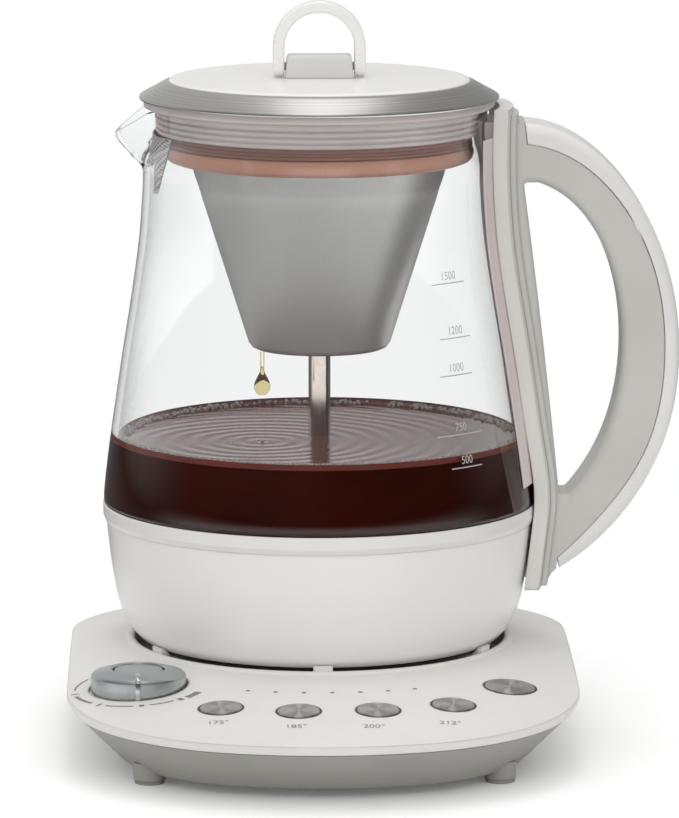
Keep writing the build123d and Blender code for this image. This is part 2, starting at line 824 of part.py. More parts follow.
# Encoder under the knob: a box on the board with a threaded bush.
with BuildPart() as dial_encoder:
    with BuildSketch(Plane.XY.offset(control_board_top)):
        with Locations((knob_x, knob_y)):
            Rectangle(encoder_size, encoder_size)
    extrude(amount=encoder_height)
    with BuildSketch(Plane.XY.offset(control_board_top + encoder_height)):
        with Locations((knob_x, knob_y)):
            Circle(shaft_radius + 1.5)
    extrude(amount=knob_seat - base_wall - control_board_top - encoder_height - seat_gap)
    with BuildSketch(Plane.XY.offset(control_board_top + encoder_height / 2)):
        with Locations((knob_x, knob_y)):
            Circle(shaft_radius + running_gap)
    extrude(amount=knob_seat, mode=Mode.SUBTRACT)
dial_encoder.part.label = "dial_encoder"
export_step(dial_encoder.part, "parts/dial_encoder.step")

# Power board, relay and transformer in the back of the base.
with BuildPart() as power_board:
    with BuildSketch(Plane.XY.offset(power_board_height)):
        with Locations((0, power_board_y)):
            Rectangle(power_board_length, power_board_width)
        with Locations(*power_board_places):
            Circle(screw_radius + seat_gap, mode=Mode.SUBTRACT)
        for angle in base_screw_angles:
            with Locations(polar_point(base_screw_circle, angle)):
                Circle(post_radius + part_gap, mode=Mode.SUBTRACT)
    extrude(amount=board)
power_board.part.label = "power_board"
export_step(power_board.part, "parts/power_board.step")
power_board_top = power_board_height + board

with BuildPart() as relay:
    with BuildSketch(Plane.XY.offset(power_board_top)):
        with Locations((-relay_length / 2, power_board_y + relay_width)):
            Rectangle(relay_length, relay_width)
    extrude(amount=relay_height)
    chamfer(relay.edges().filter_by(Axis.Z), 1.0)
relay.part.label = "relay"
export_step(relay.part, "parts/relay.step")

with BuildPart() as transformer:
    with BuildSketch(Plane.XY.offset(power_board_top)):
        with Locations((transformer_length, power_board_y)):
            Rectangle(transformer_length - 2 * core_overhang, transformer_length)
    extrude(amount=transformer_height)
    with BuildSketch(Plane.XY.offset(power_board_top + core_overhang)):
        with Locations((transformer_length, power_board_y)):
            Rectangle(transformer_length, transformer_length - 2 * core_overhang)
    extrude(amount=transformer_height - 2 * core_overhang)
transformer.part.label = "transformer"
export_step(transformer.part, "parts/transformer.step")

# Screws of the two boards.
with BuildPart() as board_screws:
    with BuildSketch(Plane.XY.offset(power_board_top)):
        with Locations(*power_board_places):
            Circle(screw_head_radius)
    extrude(amount=screw_head)
    with BuildSketch(Plane.XY.offset(power_board_top)):
        with Locations(*power_board_places):
            Circle(screw_radius - seat_gap)
    extrude(amount=-board - base_wall + part_gap)
    with BuildSketch(Plane.XY.offset(control_board_top)):
        for angle in control_post_angles:
            with Locations(polar_point(control_post_circle, angle)):
                Circle(screw_head_radius)
    extrude(amount=screw_head)
    with BuildSketch(Plane.XY.offset(control_board_top)):
        for angle in control_post_angles:
            with Locations(polar_point(control_post_circle, angle)):
                Circle(screw_radius - seat_gap)
    extrude(amount=-board - 2 * base_wall + part_gap)
board_screws.part.label = "board_screws"
export_step(board_screws.part, "parts/board_screws.step")

# ---------------------------------------------------------------- dial knob

knob_base = knob_seat + part_gap


def on_knob(height):
    """Level plane at a height, centred on the knob's axis."""
    return Plane(origin=(knob_x, knob_y, height))


def knob_section(points):
    """Outline in (radius, height above the knob's base), on the knob's axis."""
    knob_plane = Plane(origin=(knob_x, knob_y, knob_base), x_dir=(0, -1, 0), z_dir=(-1, 0, 0))
    with BuildSketch(knob_plane) as outline:
        with BuildLine():
            Polyline(*points, close=True)
        make_face()
    return outline.sketch


knob_axis = Axis((knob_x, knob_y, 0), (0, 0, 1))
pointer_run = [
    (knob_cap_radius + part_gap, knob_height - pointer_depth),
    (knob_cap_radius + part_gap, knob_height + 0.4 * pointer_stand),
    (knob_cap_radius + 2.0, knob_height + pointer_stand),
    (knob_radius - knob_shoulder, knob_height + 0.6 * pointer_stand),
    (knob_radius + pointer_stand, knob_side + pointer_stand),
    (knob_radius + pointer_stand, 0),
    (knob_radius - pointer_depth, 0),
    (knob_radius - pointer_depth, knob_side - pointer_depth),
    (knob_radius - knob_shoulder - 0.5, knob_height - pointer_depth - 0.5),
]

with BuildPart() as knob_ring:
    revolve(
        knob_section([
            (knob_cap_radius + seam_gap, 0),
            (knob_radius, 0),
            (knob_radius, knob_side),
            (knob_radius - knob_shoulder, knob_height - 0.5),
            (knob_cap_radius + 1.2, knob_height),
            (knob_cap_radius + seam_gap, knob_height - 0.5),
        ]),
        axis=knob_axis,
    )
    extrude(knob_section(pointer_run), amount=pointer_width / 2 + seat_gap, both=True, mode=Mode.SUBTRACT)
knob_ring.part.label = "knob_ring"
export_step(knob_ring.part, "parts/knob_ring.step")

with BuildPart() as knob_pointer:
    extrude(knob_section(pointer_run), amount=pointer_width / 2, both=True)
knob_pointer.part.label = "knob_pointer"
export_step(knob_pointer.part, "parts/knob_pointer.step")

with BuildPart() as knob_cap:
    revolve(
        knob_section([
            (shaft_radius + seat_gap, 0.5),
            (knob_cap_radius, 0.5),
            (knob_cap_radius, knob_height - 1.0),
            (knob_cap_radius - 0.5, knob_height - 0.5),
            (0, knob_height - 0.5),
            (0, knob_height - 2.5),
            (shaft_radius + seat_gap, knob_height - 2.5),
        ]),
        axis=knob_axis,
    )
knob_cap.part.label = "knob_cap"
export_step(knob_cap.part, "parts/knob_cap.step")

with BuildPart() as encoder_shaft:
    shaft_foot = control_board_top + encoder_height / 2 + part_gap
    with BuildSketch(on_knob(shaft_foot)):
        Circle(shaft_radius)
    extrude(amount=knob_base + knob_height - 2.5 - seat_gap - shaft_foot)
encoder_shaft.part.label = "encoder_shaft"
export_step(encoder_shaft.part, "parts/encoder_shaft.step")

# ---------------------------------------------------------------- push buttons

# Each button is a turned steel cap on a moulded plunger, square to the deck. The
# plunger ends just above its switch, and a clip under the sleeve keeps it in.
switch_top = control_board_top + switch_height
for name, circle, angle, radius in buttons:
    with BuildPart() as button:
        with BuildSketch(deck_plane(circle, angle, button_stand)):
            Circle(radius)
        extrude(amount=-button_cap)
        chamfer(button.edges().filter_by(GeomType.CIRCLE).sort_by(Axis.Z)[-1], 0.35)
    button.part.label = f"{name}_cap"
    export_step(button.part, f"parts/{name}_cap.step")
    free_height = deck_height(circle) - switch_top - button_travel - part_gap
    plunger_depth = free_height / cos(radians(deck_slope)) - plunger_radius * tan(radians(deck_slope))
    with BuildPart() as plunger:
        with BuildSketch(deck_plane(circle, angle, button_stand - button_cap)):
            Circle(plunger_radius)
        extrude(amount=button_cap - button_stand - plunger_depth)
        with BuildSketch(deck_plane(circle, angle, -sleeve_depth - base_wall - part_gap)):
            Circle(plunger_flange_radius)
        extrude(amount=-plunger_flange)
    plunger.part.label = f"{name}_plunger"
    export_step(plunger.part, f"parts/{name}_plunger.step")

# ---------------------------------------------------------------- jug

# Bowl: glossy white shell under the glass, with posts for its floor. Ribs tie the
# posts to the wall.
with BuildPart() as shell_hollow:
    with BuildSketch(Plane.XZ):
        with BuildLine():
            side = Spline(*square_to(shell_curve, shell_wall))
            Polyline(
                side @ 1,
                ((side @ 1).X, shell_top + 1),
                (0, shell_top + 1),
                (0, shell_bottom + floor_cover + seat_gap),
                (shell_opening, shell_bottom + floor_cover + seat_gap),
                (shell_opening, shell_bottom + shell_wall),
                ((side @ 0).X, shell_bottom + shell_wall),
                side @ 0,
            )
        make_face()
    revolve(axis=Axis.Z)
    with BuildSketch(Plane.XY.offset(shell_bottom)):
        with PolarLocations(floor_screw_circle, 3):
            Circle(floor_post_radius)
            with Locations((shell_opening / 2, 0)):
                Rectangle(shell_opening, floor_rib)
    extrude(amount=floor_post_top - shell_bottom, mode=Mode.SUBTRACT)

with BuildPart() as jug_shell:
    revolve(filled_section(shell_curve), axis=Axis.Z)
    add(shell_hollow.part, mode=Mode.SUBTRACT)
    with BuildSketch(Plane.XY.offset(shell_bottom)):
        Circle(shell_opening)
    extrude(amount=floor_cover + seat_gap, mode=Mode.SUBTRACT)
    with BuildSketch(Plane.XY.offset(shell_bottom)):
        with PolarLocations(floor_screw_circle, 3):
            Circle(screw_radius)
    extrude(amount=floor_post_top - shell_bottom - floor_rib, mode=Mode.SUBTRACT)
    with BuildSketch(Plane.YZ.offset(shell_opening)):
        with Locations((0, frame_boss_height)):
            Circle(screw_radius + seat_gap)
    extrude(amount=shell_opening, mode=Mode.SUBTRACT)
jug_shell.part.label = "jug_shell"
export_step(jug_shell.part, "parts/jug_shell.step")

# Floor of the bowl, with the well that the socket tower enters.
with BuildPart() as jug_floor_cover:
    revolve(
        section([
            (well_radius, shell_bottom),
            (shell_opening - part_gap, shell_bottom),
            (shell_opening - part_gap, shell_bottom + floor_cover),
            (well_radius + well_wall, shell_bottom + floor_cover),
            (well_radius + well_wall, well_top),
            (well_radius, well_top),
        ]),
        axis=Axis.Z,
    )
    with BuildSketch(Plane.XY.offset(shell_bottom)):
        with PolarLocations(floor_screw_circle, 3):
            Circle(screw_radius + seat_gap)
    extrude(amount=floor_cover, mode=Mode.SUBTRACT)
jug_floor_cover.part.label = "jug_floor_cover"
export_step(jug_floor_cover.part, "parts/jug_floor_cover.step")

with BuildPart() as floor_screws:
    with BuildSketch(Plane.XY.offset(shell_bottom)):
        with PolarLocations(floor_screw_circle, 3):
            Circle(screw_head_radius)
    extrude(amount=-screw_head)
    with BuildSketch(Plane.XY.offset(shell_bottom)):
        with PolarLocations(floor_screw_circle, 3):
            Circle(screw_radius - seat_gap)
    extrude(amount=floor_post_top - shell_bottom - floor_rib - part_gap)
floor_screws.part.label = "floor_screws"
export_step(floor_screws.part, "parts/floor_screws.step")

# Plug unit on top of the well, with the pin and the ring that meet the socket.
with BuildPart() as jug_connector:
    with BuildSketch(Plane.XY.offset(connector_face)):
        Circle(well_radius - part_gap)
    extrude(amount=connector_top - connector_face)
    with BuildSketch(Plane.XY.offset(well_top + seat_gap)):
        Circle(connector_flange_radius)
    extrude(amount=connector_flange)
    with BuildSketch(Plane.XY.offset(connector_face)):
        Circle(pin_radius)
        Circle(contact_ring_outer)
        Circle(contact_ring_inner, mode=Mode.SUBTRACT)
        Circle(pin_radius)
    extrude(amount=connector_flange + 1, mode=Mode.SUBTRACT)
jug_connector.part.label = "jug_connector"
export_step(jug_connector.part, "parts/jug_connector.step")

with BuildPart() as connector_contacts:
    with BuildSketch(Plane.XY.offset(tower_top - pin_bore_depth + 1.5)):
        Circle(pin_radius)
    extrude(amount=connector_face + connector_flange - tower_top + pin_bore_depth - 1.5)
    with BuildSketch(Plane.XY.offset(tower_top - groove_depth + 1.5)):
        Circle(contact_ring_outer)
        Circle(contact_ring_inner, mode=Mode.SUBTRACT)
    extrude(amount=connector_face + connector_flange - tower_top + groove_depth - 1.5)
connector_contacts.part.label = "connector_contacts"
export_step(connector_contacts.part, "parts/connector_contacts.step")

# Heating plate: a pressed steel floor with a flange under the foot of the glass.
plate_seat = plate_flange_height
with BuildPart() as heating_plate:
    revolve(
        section([
            (0, plate_top - plate_sheet),
            (plate_radius - plate_sheet, plate_top - plate_sheet),
            (plate_radius - plate_sheet, plate_seat),
            (plate_flange_radius, plate_seat),
            (plate_flange_radius, plate_seat + plate_sheet),
            (plate_radius, plate_seat + plate_sheet),
            (plate_radius, plate_top - 0.4),
            (plate_radius - 0.6, plate_top),
            (0, plate_top),
        ]),
        axis=Axis.Z,
    )
heating_plate.part.label = "heating_plate"
export_step(heating_plate.part, "parts/heating_plate.step")

# Seal: silicone ring between the plate's flange and the foot of the glass.
with BuildPart() as plate_seal:
    revolve(
        section([
            (plate_radius + seat_gap, plate_seat + plate_sheet + seat_gap),
            (plate_flange_radius, plate_seat + plate_sheet + seat_gap),
            (plate_flange_radius, glass_foot - seat_gap),
            (glass_curve[0][0] - glass_wall - 0.5, glass_foot - seat_gap),
            (glass_curve[0][0] - glass_wall - 0.7, plate_top - 0.8),
            (plate_radius + seat_gap, plate_top - 0.4),
        ]),
        axis=Axis.Z,
    )
plate_seal.part.label = "plate_seal"
export_step(plate_seal.part, "parts/plate_seal.step")

# Collar: white ring round the foot of the glass. Its spigot drops into the bowl
# and a ledge inside it carries the heating plate.
spigot_radius = square_to(shell_curve, shell_wall)[-1][0] - 2 * part_gap
with BuildPart() as jug_collar:
    revolve(
        section([
            (spigot_radius, shell_top + seat_gap),
            (shell_curve[-1][0] + 0.4, shell_top + seat_gap),
            (collar_radius, shell_top + 2.2),
            (collar_radius, collar_top - 0.5),
            (collar_radius - 0.3, collar_top),
            (plate_flange_radius + seat_gap, collar_top),
            (plate_flange_radius + seat_gap, plate_seat - seat_gap),
            (plate_radius, plate_seat - seat_gap),
            (plate_radius, shell_top - collar_spigot_depth),
            (spigot_radius, shell_top - collar_spigot_depth),
        ]),
        axis=Axis.Z,
    )
    revolve(
        filled_section([(radius + glass_bond, height) for radius, height in glass_curve]),
        axis=Axis.Z,
        mode=Mode.SUBTRACT,
    )
jug_collar.part.label = "jug_collar"
export_step(jug_collar.part, "parts/jug_collar.step")

# Heat spreader, tubular heater, thermal cut-outs and temperature probe.
spreader_top = plate_top - plate_sheet
heater_height = spreader_top - spreader - heater_radius
with BuildPart() as heat_spreader:
    with BuildSketch(Plane.XY.offset(spreader_top)):
        Circle(spreader_radius)
        Circle(probe_radius + seat_gap, mode=Mode.SUBTRACT)
    extrude(amount=-spreader)
heat_spreader.part.label = "heat_spreader"
export_step(heat_spreader.part, "parts/heat_spreader.step")

with BuildPart() as heater_tube:
    with BuildSketch(Plane.XZ):
        with Locations((heater_circle, heater_height)):
            Circle(heater_radius)
    revolve(axis=Axis.Z, revolution_arc=heater_arc)
    with BuildSketch(Plane.XY.offset(heater_height)):
        for angle in (2, heater_arc - 2):
            turn = radians(angle)
            with Locations((heater_circle * cos(turn), heater_circle * sin(turn))):
                Circle(cold_pin_radius)
    extrude(amount=-heater_radius - cold_pin_length)
heater_tube.part.label = "heater_tube"
export_step(heater_tube.part, "parts/heater_tube.step")

with BuildPart() as thermal_cutouts:
    with BuildSketch(Plane.XY.offset(spreader_top - spreader - seat_gap)):
        with PolarLocations(cutout_circle, 2, start_angle=90):
            Circle(cutout_radius)
    extrude(amount=-cutout_height)
thermal_cutouts.part.label = "thermal_cutouts"
export_step(thermal_cutouts.part, "parts/thermal_cutouts.step")

with BuildPart() as temperature_probe:
    with BuildSketch(Plane.XY.offset(spreader_top - seat_gap)):
        Circle(probe_radius)
    extrude(amount=-probe_length)
temperature_probe.part.label = "temperature_probe"
export_step(temperature_probe.part, "parts/temperature_probe.step")


# ---------------------------------------------------------------- glass and spout

def spout_tip(height):
    """X of the spout's underside at a height."""
    return spout_root_x - spout_flare * (height - spout_root_height)


def spout_wedge(inset):
    """The drawn spout as a wedge with its edge to the front of the spout."""
    sections = []
    for height in (spout_low, spout_high):
        with BuildSketch(Plane.XY.offset(height)) as plan:
            with BuildLine():
                Polyline(
                    (spout_tip(height) + 1.3 * inset, 0),
                    (spout_base_x, spout_half_width - 1.2 * inset),
                    (spout_base_x, -spout_half_width + 1.2 * inset),
                    close=True,
                )
            make_face()
            fillet(plan.vertices().sort_by(Axis.X)[0], spout_tip_radius - inset)
        sections.append(plan.sketch)
    with BuildPart() as wedge:
        loft(sections, ruled=True)
    return wedge.part


# Glass: blown body with an open foot, a neck and a V-shaped drawn spout whose lip
# drops towards its tip.
glass_inside = square_to(glass_curve, glass_wall)
glass_inside[0] = (glass_curve[0][0] - glass_wall, glass_foot)
glass_inside[-1] = (glass_curve[-1][0] - glass_wall, glass_rim)
lip_fall = (glass_rim - spout_tip_height) / (-spout_tip_x - glass_curve[-1][0])
with BuildPart() as glass_jug:
    add(spout_wedge(0))
    with BuildSketch(Plane.XZ):
        with BuildLine():
            Polyline(
                (spout_base_x, spout_low - 1),
                (-collar_radius, spout_low - 1),
                (-collar_radius, glass_rim - lip_fall * (collar_radius - glass_curve[-1][0])),
                (-glass_curve[-1][0], glass_rim),
                (spout_base_x, glass_rim),
                close=True,
            )
        make_face()
    extrude(amount=lid_radius, both=True, mode=Mode.INTERSECT)
    revolve(filled_section(glass_curve), axis=Axis.Z)
    add(spout_wedge(glass_wall), mode=Mode.SUBTRACT)
    revolve(filled_section(glass_inside), axis=Axis.Z, mode=Mode.SUBTRACT)
glass_jug.part.label = "glass_jug"
export_step(glass_jug.part, "parts/glass_jug.step")

def strainer_cone(shrink):
    """Leaning cone that touches the strainer's middle line all the way up."""
    with BuildSketch(Plane.XY.offset(strainer_foot)) as foot:
        with Locations((strainer_foot_x + strainer_foot_radius, 0)):
            Circle(strainer_foot_radius - shrink)
    with BuildSketch(Plane.XY.offset(strainer_top)) as top:
        with Locations((strainer_top_x + strainer_radius, 0)):
            Circle(strainer_radius - shrink)
    with BuildPart() as cone:
        loft([foot.sketch, top.sketch])
    return cone.part


# Strainer: a sheet of steel mesh bent to part of a cone, point down, behind the
# spout.
with BuildPart() as spout_strainer:
    add(strainer_cone(0))
    add(strainer_cone(strainer_sheet), mode=Mode.SUBTRACT)
    with BuildSketch(Plane.XZ):
        with BuildLine():
            Polyline(
                (strainer_foot_x - 1, strainer_foot),
                (strainer_foot_x + strainer_foot_radius, strainer_foot),
                (strainer_top_x + strainer_depth, strainer_top),
                (strainer_foot_x - 1, strainer_top),
                close=True,
            )
        make_face()
    extrude(amount=strainer_radius, both=True, mode=Mode.INTERSECT)
spout_strainer.part.label = "spout_strainer"
export_step(spout_strainer.part, "parts/spout_strainer.step")

# ---------------------------------------------------------------- handle

def thickened(curve, near, far):
    """Band between two offsets outside a smooth curve."""
    with BuildSketch(Plane.XZ) as outline:
        with BuildLine():
            inside = Spline(*[(radius + near, height) for radius, height in curve])
            outside = Spline(*[(radius + far, height) for radius, height in curve])
            Line(inside @ 0, outside @ 0)
            Line(inside @ 1, outside @ 1)
        make_face()
    return outline.sketch


def curve_x(curve, height):
    """Radius of a smooth curve at a height, between its given points."""
    for (r_low, z_low), (r_high, z_high) in zip(curve, curve[1:]):
        if z_low <= height <= z_high:
            return r_low + (r_high - r_low) * (height - z_low) / (z_high - z_low)
    return curve[-1][0]


def strip(half_width, low, high):
    """Box on the handle's side of the jug, used to cut a strip from a turned band."""
    with BuildPart() as block:
        with BuildSketch(Plane.XY.offset(low)):
            with Locations((lid_radius, 0)):
                Rectangle(lid_radius, 2 * half_width)
        extrude(amount=high - low)
    return block.part


with BuildPart() as frame_plate:
    revolve(thickened(frame_curve, 0, frame_sheet), axis=Axis.Z)
    add(strip(frame_half_width, frame_bottom, frame_top), mode=Mode.INTERSECT)
    fillet(frame_plate.edges().filter_by(Axis.X).group_by(Axis.Z)[0], frame_corner_radius)

bowl_wall_x = curve_x(shell_curve, frame_boss_height) - shell_wall - part_gap
frame_screw_tip = curve_x(frame_curve, frame_boss_height) + grip_screw_depth
grip_screw_tips = [
    curve_x(frame_curve, height) + frame_sheet - grip_screw_depth for height in grip_screw_heights
]

# Frame: curved plate bonded up the side of the jug, with a boss that meets the
# bowl near its lower end.
with BuildPart() as handle_frame:
    with BuildSketch(Plane.YZ.offset(shell_opening)):
        with Locations((0, frame_boss_height)):
            Circle(frame_boss_radius)
    extrude(amount=frame_curve[1][0] + 1 - shell_opening)
    revolve(
        filled_section([(radius + seat_gap, height) for radius, height in shell_curve]),
        axis=Axis.Z,
        mode=Mode.SUBTRACT,
    )
    add(frame_plate.part)
    with BuildSketch(Plane.YZ.offset(shell_opening)):
        with Locations((0, frame_boss_height)):
            Circle(screw_radius)
    extrude(amount=frame_screw_tip + part_gap - shell_opening, mode=Mode.SUBTRACT)
    for height, tip in zip(grip_screw_heights, grip_screw_tips):
        with BuildSketch(Plane.YZ.offset(tip - part_gap)):
            with Locations((0, height)):
                Circle(screw_radius)
        extrude(amount=grip_screw_head_x - tip, mode=Mode.SUBTRACT)
handle_frame.part.label = "handle_frame"
export_step(handle_frame.part, "parts/handle_frame.step")

# Screws: two through the grip into the frame, and one from inside the bowl.
frame_screw_head_x = bowl_wall_x - screw_head
with BuildPart() as handle_screws:
    with BuildSketch(Plane.YZ.offset(frame_screw_head_x)):
        with Locations((0, frame_boss_height)):
            Circle(screw_head_radius)
    extrude(amount=screw_head)
    with BuildSketch(Plane.YZ.offset(frame_screw_head_x)):
        with Locations((0, frame_boss_height)):
            Circle(screw_radius - seat_gap)
    extrude(amount=frame_screw_tip - frame_screw_head_x)
    for height, tip in zip(grip_screw_heights, grip_screw_tips):
        with BuildSketch(Plane.YZ.offset(grip_screw_head_x + seat_gap)):
            with Locations((0, height)):
                Circle(screw_head_radius)
        extrude(amount=screw_head)
        with BuildSketch(Plane.YZ.offset(tip)):
            with Locations((0, height)):
                Circle(screw_radius - seat_gap)
        extrude(amount=grip_screw_head_x + screw_head - tip)
handle_screws.part.label = "handle_screws"
export_step(handle_screws.part, "parts/handle_screws.step")

# Pad: silicone strip that fills the space between the frame and the glass.
with BuildPart() as handle_pad:
    revolve(thickened(frame_curve, -10, -seat_gap), axis=Axis.Z)
    add(strip(pad_half_width, pad_bottom, pad_top), mode=Mode.INTERSECT)
    revolve(
        filled_section([(radius + seat_gap, height) for radius, height in glass_curve]),
        axis=Axis.Z,
        mode=Mode.SUBTRACT,
    )
handle_pad.part.label = "handle_pad"
export_step(handle_pad.part, "parts/handle_pad.step")

# Grip: D-shaped moulding with a flange on the frame, an upright strut and the
# round of the handle up to the parting line with its cover.
with BuildPart() as grip_opening:
    with BuildSketch(Plane.XZ) as opening:
        with BuildLine():
            arch = Spline(*opening_arc)
            strut = Spline(*opening_strut)
            Line(arch @ 0, strut @ 1)
            Line(arch @ 1, strut @ 0)
        make_face()
        fillet(opening.vertices(), opening_corner_radius * 0.45)
    extrude(amount=2 * grip_half_width, both=True)

with BuildPart() as frame_core:
    revolve(
        thickened(frame_curve, -20, frame_sheet + seat_gap),
        axis=Axis.Z,
    )

with BuildPart() as grip_flange:
    revolve(
        thickened(frame_curve, frame_sheet + seat_gap, frame_sheet + seat_gap + flange_sheet),
        axis=Axis.Z,
    )
    add(strip(flange_half_width, grip_bottom, flange_top), mode=Mode.INTERSECT)

with BuildPart() as handle_grip:
    with BuildSketch(Plane.XZ):
        with BuildLine():
            parting_line = Spline(*parting_curve)
            Polyline(
                parting_line @ 1,
                *grip_toe,
                (grip_screw_head_x - 4.2, grip_bottom),
                (frame_neck_radius, grip_bottom),
                (frame_neck_radius, grip_top),
                (parting_curve[0][0] - 0.8, grip_top),
                parting_line @ 0,
            )
        make_face()
    extrude(amount=grip_half_width, both=True)
    add(grip_opening.part, mode=Mode.SUBTRACT)
    add(frame_core.part, mode=Mode.SUBTRACT)
    for side in (-grip_half_width, grip_half_width):
        x, z = opening_arc[3]
        fillet(handle_grip.edges().sort_by_distance(Vector(x, side, z))[0], grip_edge_radius)
    add(grip_flange.part)
    for height in grip_screw_heights:
        with BuildSketch(Plane.YZ.offset(frame_neck_radius)):
            with Locations((0, height)):
                Circle(screw_radius + seat_gap)
        extrude(amount=2 * grip_half_width, mode=Mode.SUBTRACT)
        with BuildSketch(Plane.YZ.offset(grip_screw_head_x)):
            with Locations((0, height)):
                Circle(screw_head_radius + part_gap)
        extrude(amount=2 * grip_half_width, mode=Mode.SUBTRACT)
handle_grip.part.label = "handle_grip"
export_step(handle_grip.part, "parts/handle_grip.step")

with BuildPart() as handle_cover:
    with BuildSketch(Plane.XZ):
        with BuildLine():
            inner_line = Spline(*[(x + 0.2, z + 0.1) for x, z in parting_curve])
            outer_line = Spline(*cover_curve)
            Line(inner_line @ 0, outer_line @ 0)
            Line(inner_line @ 1, outer_line @ 1)
        make_face()
    extrude(amount=grip_half_width, both=True)
    fillet(handle_cover.edges().sort_by(SortBy.LENGTH)[-2:], cover_edge_radius)
handle_cover.part.label = "handle_cover"
export_step(handle_cover.part, "parts/handle_cover.step")

# ---------------------------------------------------------------- lid

with BuildPart() as lid_cap:
    revolve(
        section([
            (lid_lip_radius, lid_bottom),
            (lid_radius - 1.6, lid_bottom),
            (lid_radius, lid_bottom + 1.6),
            (lid_radius, lid_edge_height),
            (disc_radius + 0.1, disc_seat),
            (disc_spigot_radius + 0.3, disc_seat),
            (disc_spigot_radius + 0.3, disc_seat - lid_sheet),
            (disc_radius - 0.3, disc_seat - lid_sheet),
            (lid_radius - 1.8, lid_edge_height - 0.3),
            (lid_radius - 1.8, lid_bottom + lid_sheet),
            (lid_lip_radius, lid_bottom + lid_sheet),
        ]),
        axis=Axis.Z,
    )
lid_cap.part.label = "lid_cap"
export_step(lid_cap.part, "parts/lid_cap.step")

with BuildPart() as lid_disc:
    revolve(
        section([
            (0, disc_seat - disc_spigot),
            (disc_spigot_radius, disc_seat - disc_spigot),
            (disc_spigot_radius, disc_seat + seat_gap),
            (disc_radius, disc_seat + seat_gap),
            (disc_radius, disc_top - 0.4),
            (disc_radius - 0.4, disc_top),
            (0, disc_top),
        ]),
        axis=Axis.Z,
    )
    with BuildSketch(Plane.XY.offset(disc_seat - disc_spigot)):
        Circle(screw_radius)
    extrude(amount=lid_screw_top + part_gap - disc_seat + disc_spigot, mode=Mode.SUBTRACT)
lid_disc.part.label = "lid_disc"
export_step(lid_disc.part, "parts/lid_disc.step")

# One screw from below holds the core, the cap and the disc together.
with BuildPart() as lid_screw:
    with BuildSketch(Plane.XY.offset(lid_screw_seat - seat_gap)):
        Circle(screw_head_radius)
    extrude(amount=-screw_head)
    with BuildSketch(Plane.XY.offset(lid_screw_seat - seat_gap)):
        Circle(screw_radius - seat_gap)
    extrude(amount=lid_screw_top - lid_screw_seat + seat_gap)
lid_screw.part.label = "lid_screw"
export_step(lid_screw.part, "parts/lid_screw.step")

skirt_radius = ring_bore - part_gap
with BuildPart() as lid_core:
    revolve(
        section([
            (0, core_bottom),
            (skirt_radius - core_skirt_wall, core_bottom),
            (skirt_radius - core_skirt_wall, core_bottom - core_skirt_depth),
            (skirt_radius, core_bottom - core_skirt_depth),
            (skirt_radius, core_bottom),
            (core_radius, core_bottom),
            (core_radius, lid_bottom + lid_sheet + seat_gap),
            (core_flange_radius, lid_bottom + lid_sheet + seat_gap),
            (core_flange_radius, lid_bottom + lid_sheet + seat_gap + core_flange),
            (core_radius - core_wall, lid_bottom + lid_sheet + seat_gap + core_flange),
            (core_radius - core_wall, core_bottom + core_wall),
            (core_post_radius, core_bottom + core_wall),
            (core_post_radius, disc_seat - disc_spigot - seat_gap),
            (0, disc_seat - disc_spigot - seat_gap),
        ]),
        axis=Axis.Z,
    )
    with BuildSketch(Plane.XY.offset(core_bottom)):
        Circle(screw_head_radius + part_gap)
    extrude(amount=lid_screw_seat - core_bottom, mode=Mode.SUBTRACT)
    with BuildSketch(Plane.XY.offset(core_bottom)):
        Circle(screw_radius + seat_gap)
    extrude(amount=disc_seat - core_bottom, mode=Mode.SUBTRACT)
lid_core.part.label = "lid_core"
export_step(lid_core.part, "parts/lid_core.step")

rib_heights = [gasket_bottom + 0.8, gasket_bottom + 4.0, gasket_bottom + 7.8]
rib_radii = [core_radius + 2.1, core_radius + 3.0, core_radius + 3.5]
gasket_root = core_radius + 1.4
gasket_points = [(core_radius + seat_gap, gasket_bottom), (gasket_root, gasket_bottom)]
for height, radius in zip(rib_heights, rib_radii):
    gasket_points += [(radius, height), (radius, height + 0.8), (gasket_root, height + 1.8)]
gasket_points[-1] = (rib_radii[-1], gasket_top)
gasket_points.append((core_radius + seat_gap, gasket_top))
with BuildPart() as lid_gasket:
    revolve(section(gasket_points), axis=Axis.Z)
lid_gasket.part.label = "lid_gasket"
export_step(lid_gasket.part, "parts/lid_gasket.step")

# Bail block with the pin, and the folding bail.
block_half_width = bail_half_width - bail_leg - part_gap
with BuildPart() as bail_block:
    with BuildSketch(Plane.XZ):
        with BuildLine():
            Polyline(
                (-block_half_width, disc_top + seat_gap),
                (block_half_width, disc_top + seat_gap),
                (block_half_width - block_taper, block_top),
                (block_taper - block_half_width, block_top),
                close=True,
            )
        make_face()
    extrude(amount=block_half_depth, both=True)
    fillet(bail_block.faces().sort_by(Axis.Z)[-1].edges(), block_edge_radius)
    with BuildSketch(Plane.YZ.offset(-bail_half_width)):
        with Locations((0, pivot_height)):
            Circle(bail_pin_radius)
    extrude(amount=2 * bail_half_width, mode=Mode.SUBTRACT)
bail_block.part.label = "bail_block"
export_step(bail_block.part, "parts/bail_block.step")

with BuildPart() as bail_pin:
    with BuildSketch(Plane.YZ.offset(bail_pin_inset - bail_half_width)):
        with Locations((0, pivot_height)):
            Circle(bail_pin_radius)
    extrude(amount=2 * (bail_half_width - bail_pin_inset))
bail_pin.part.label = "bail_pin"
export_step(bail_pin.part, "parts/bail_pin.step")

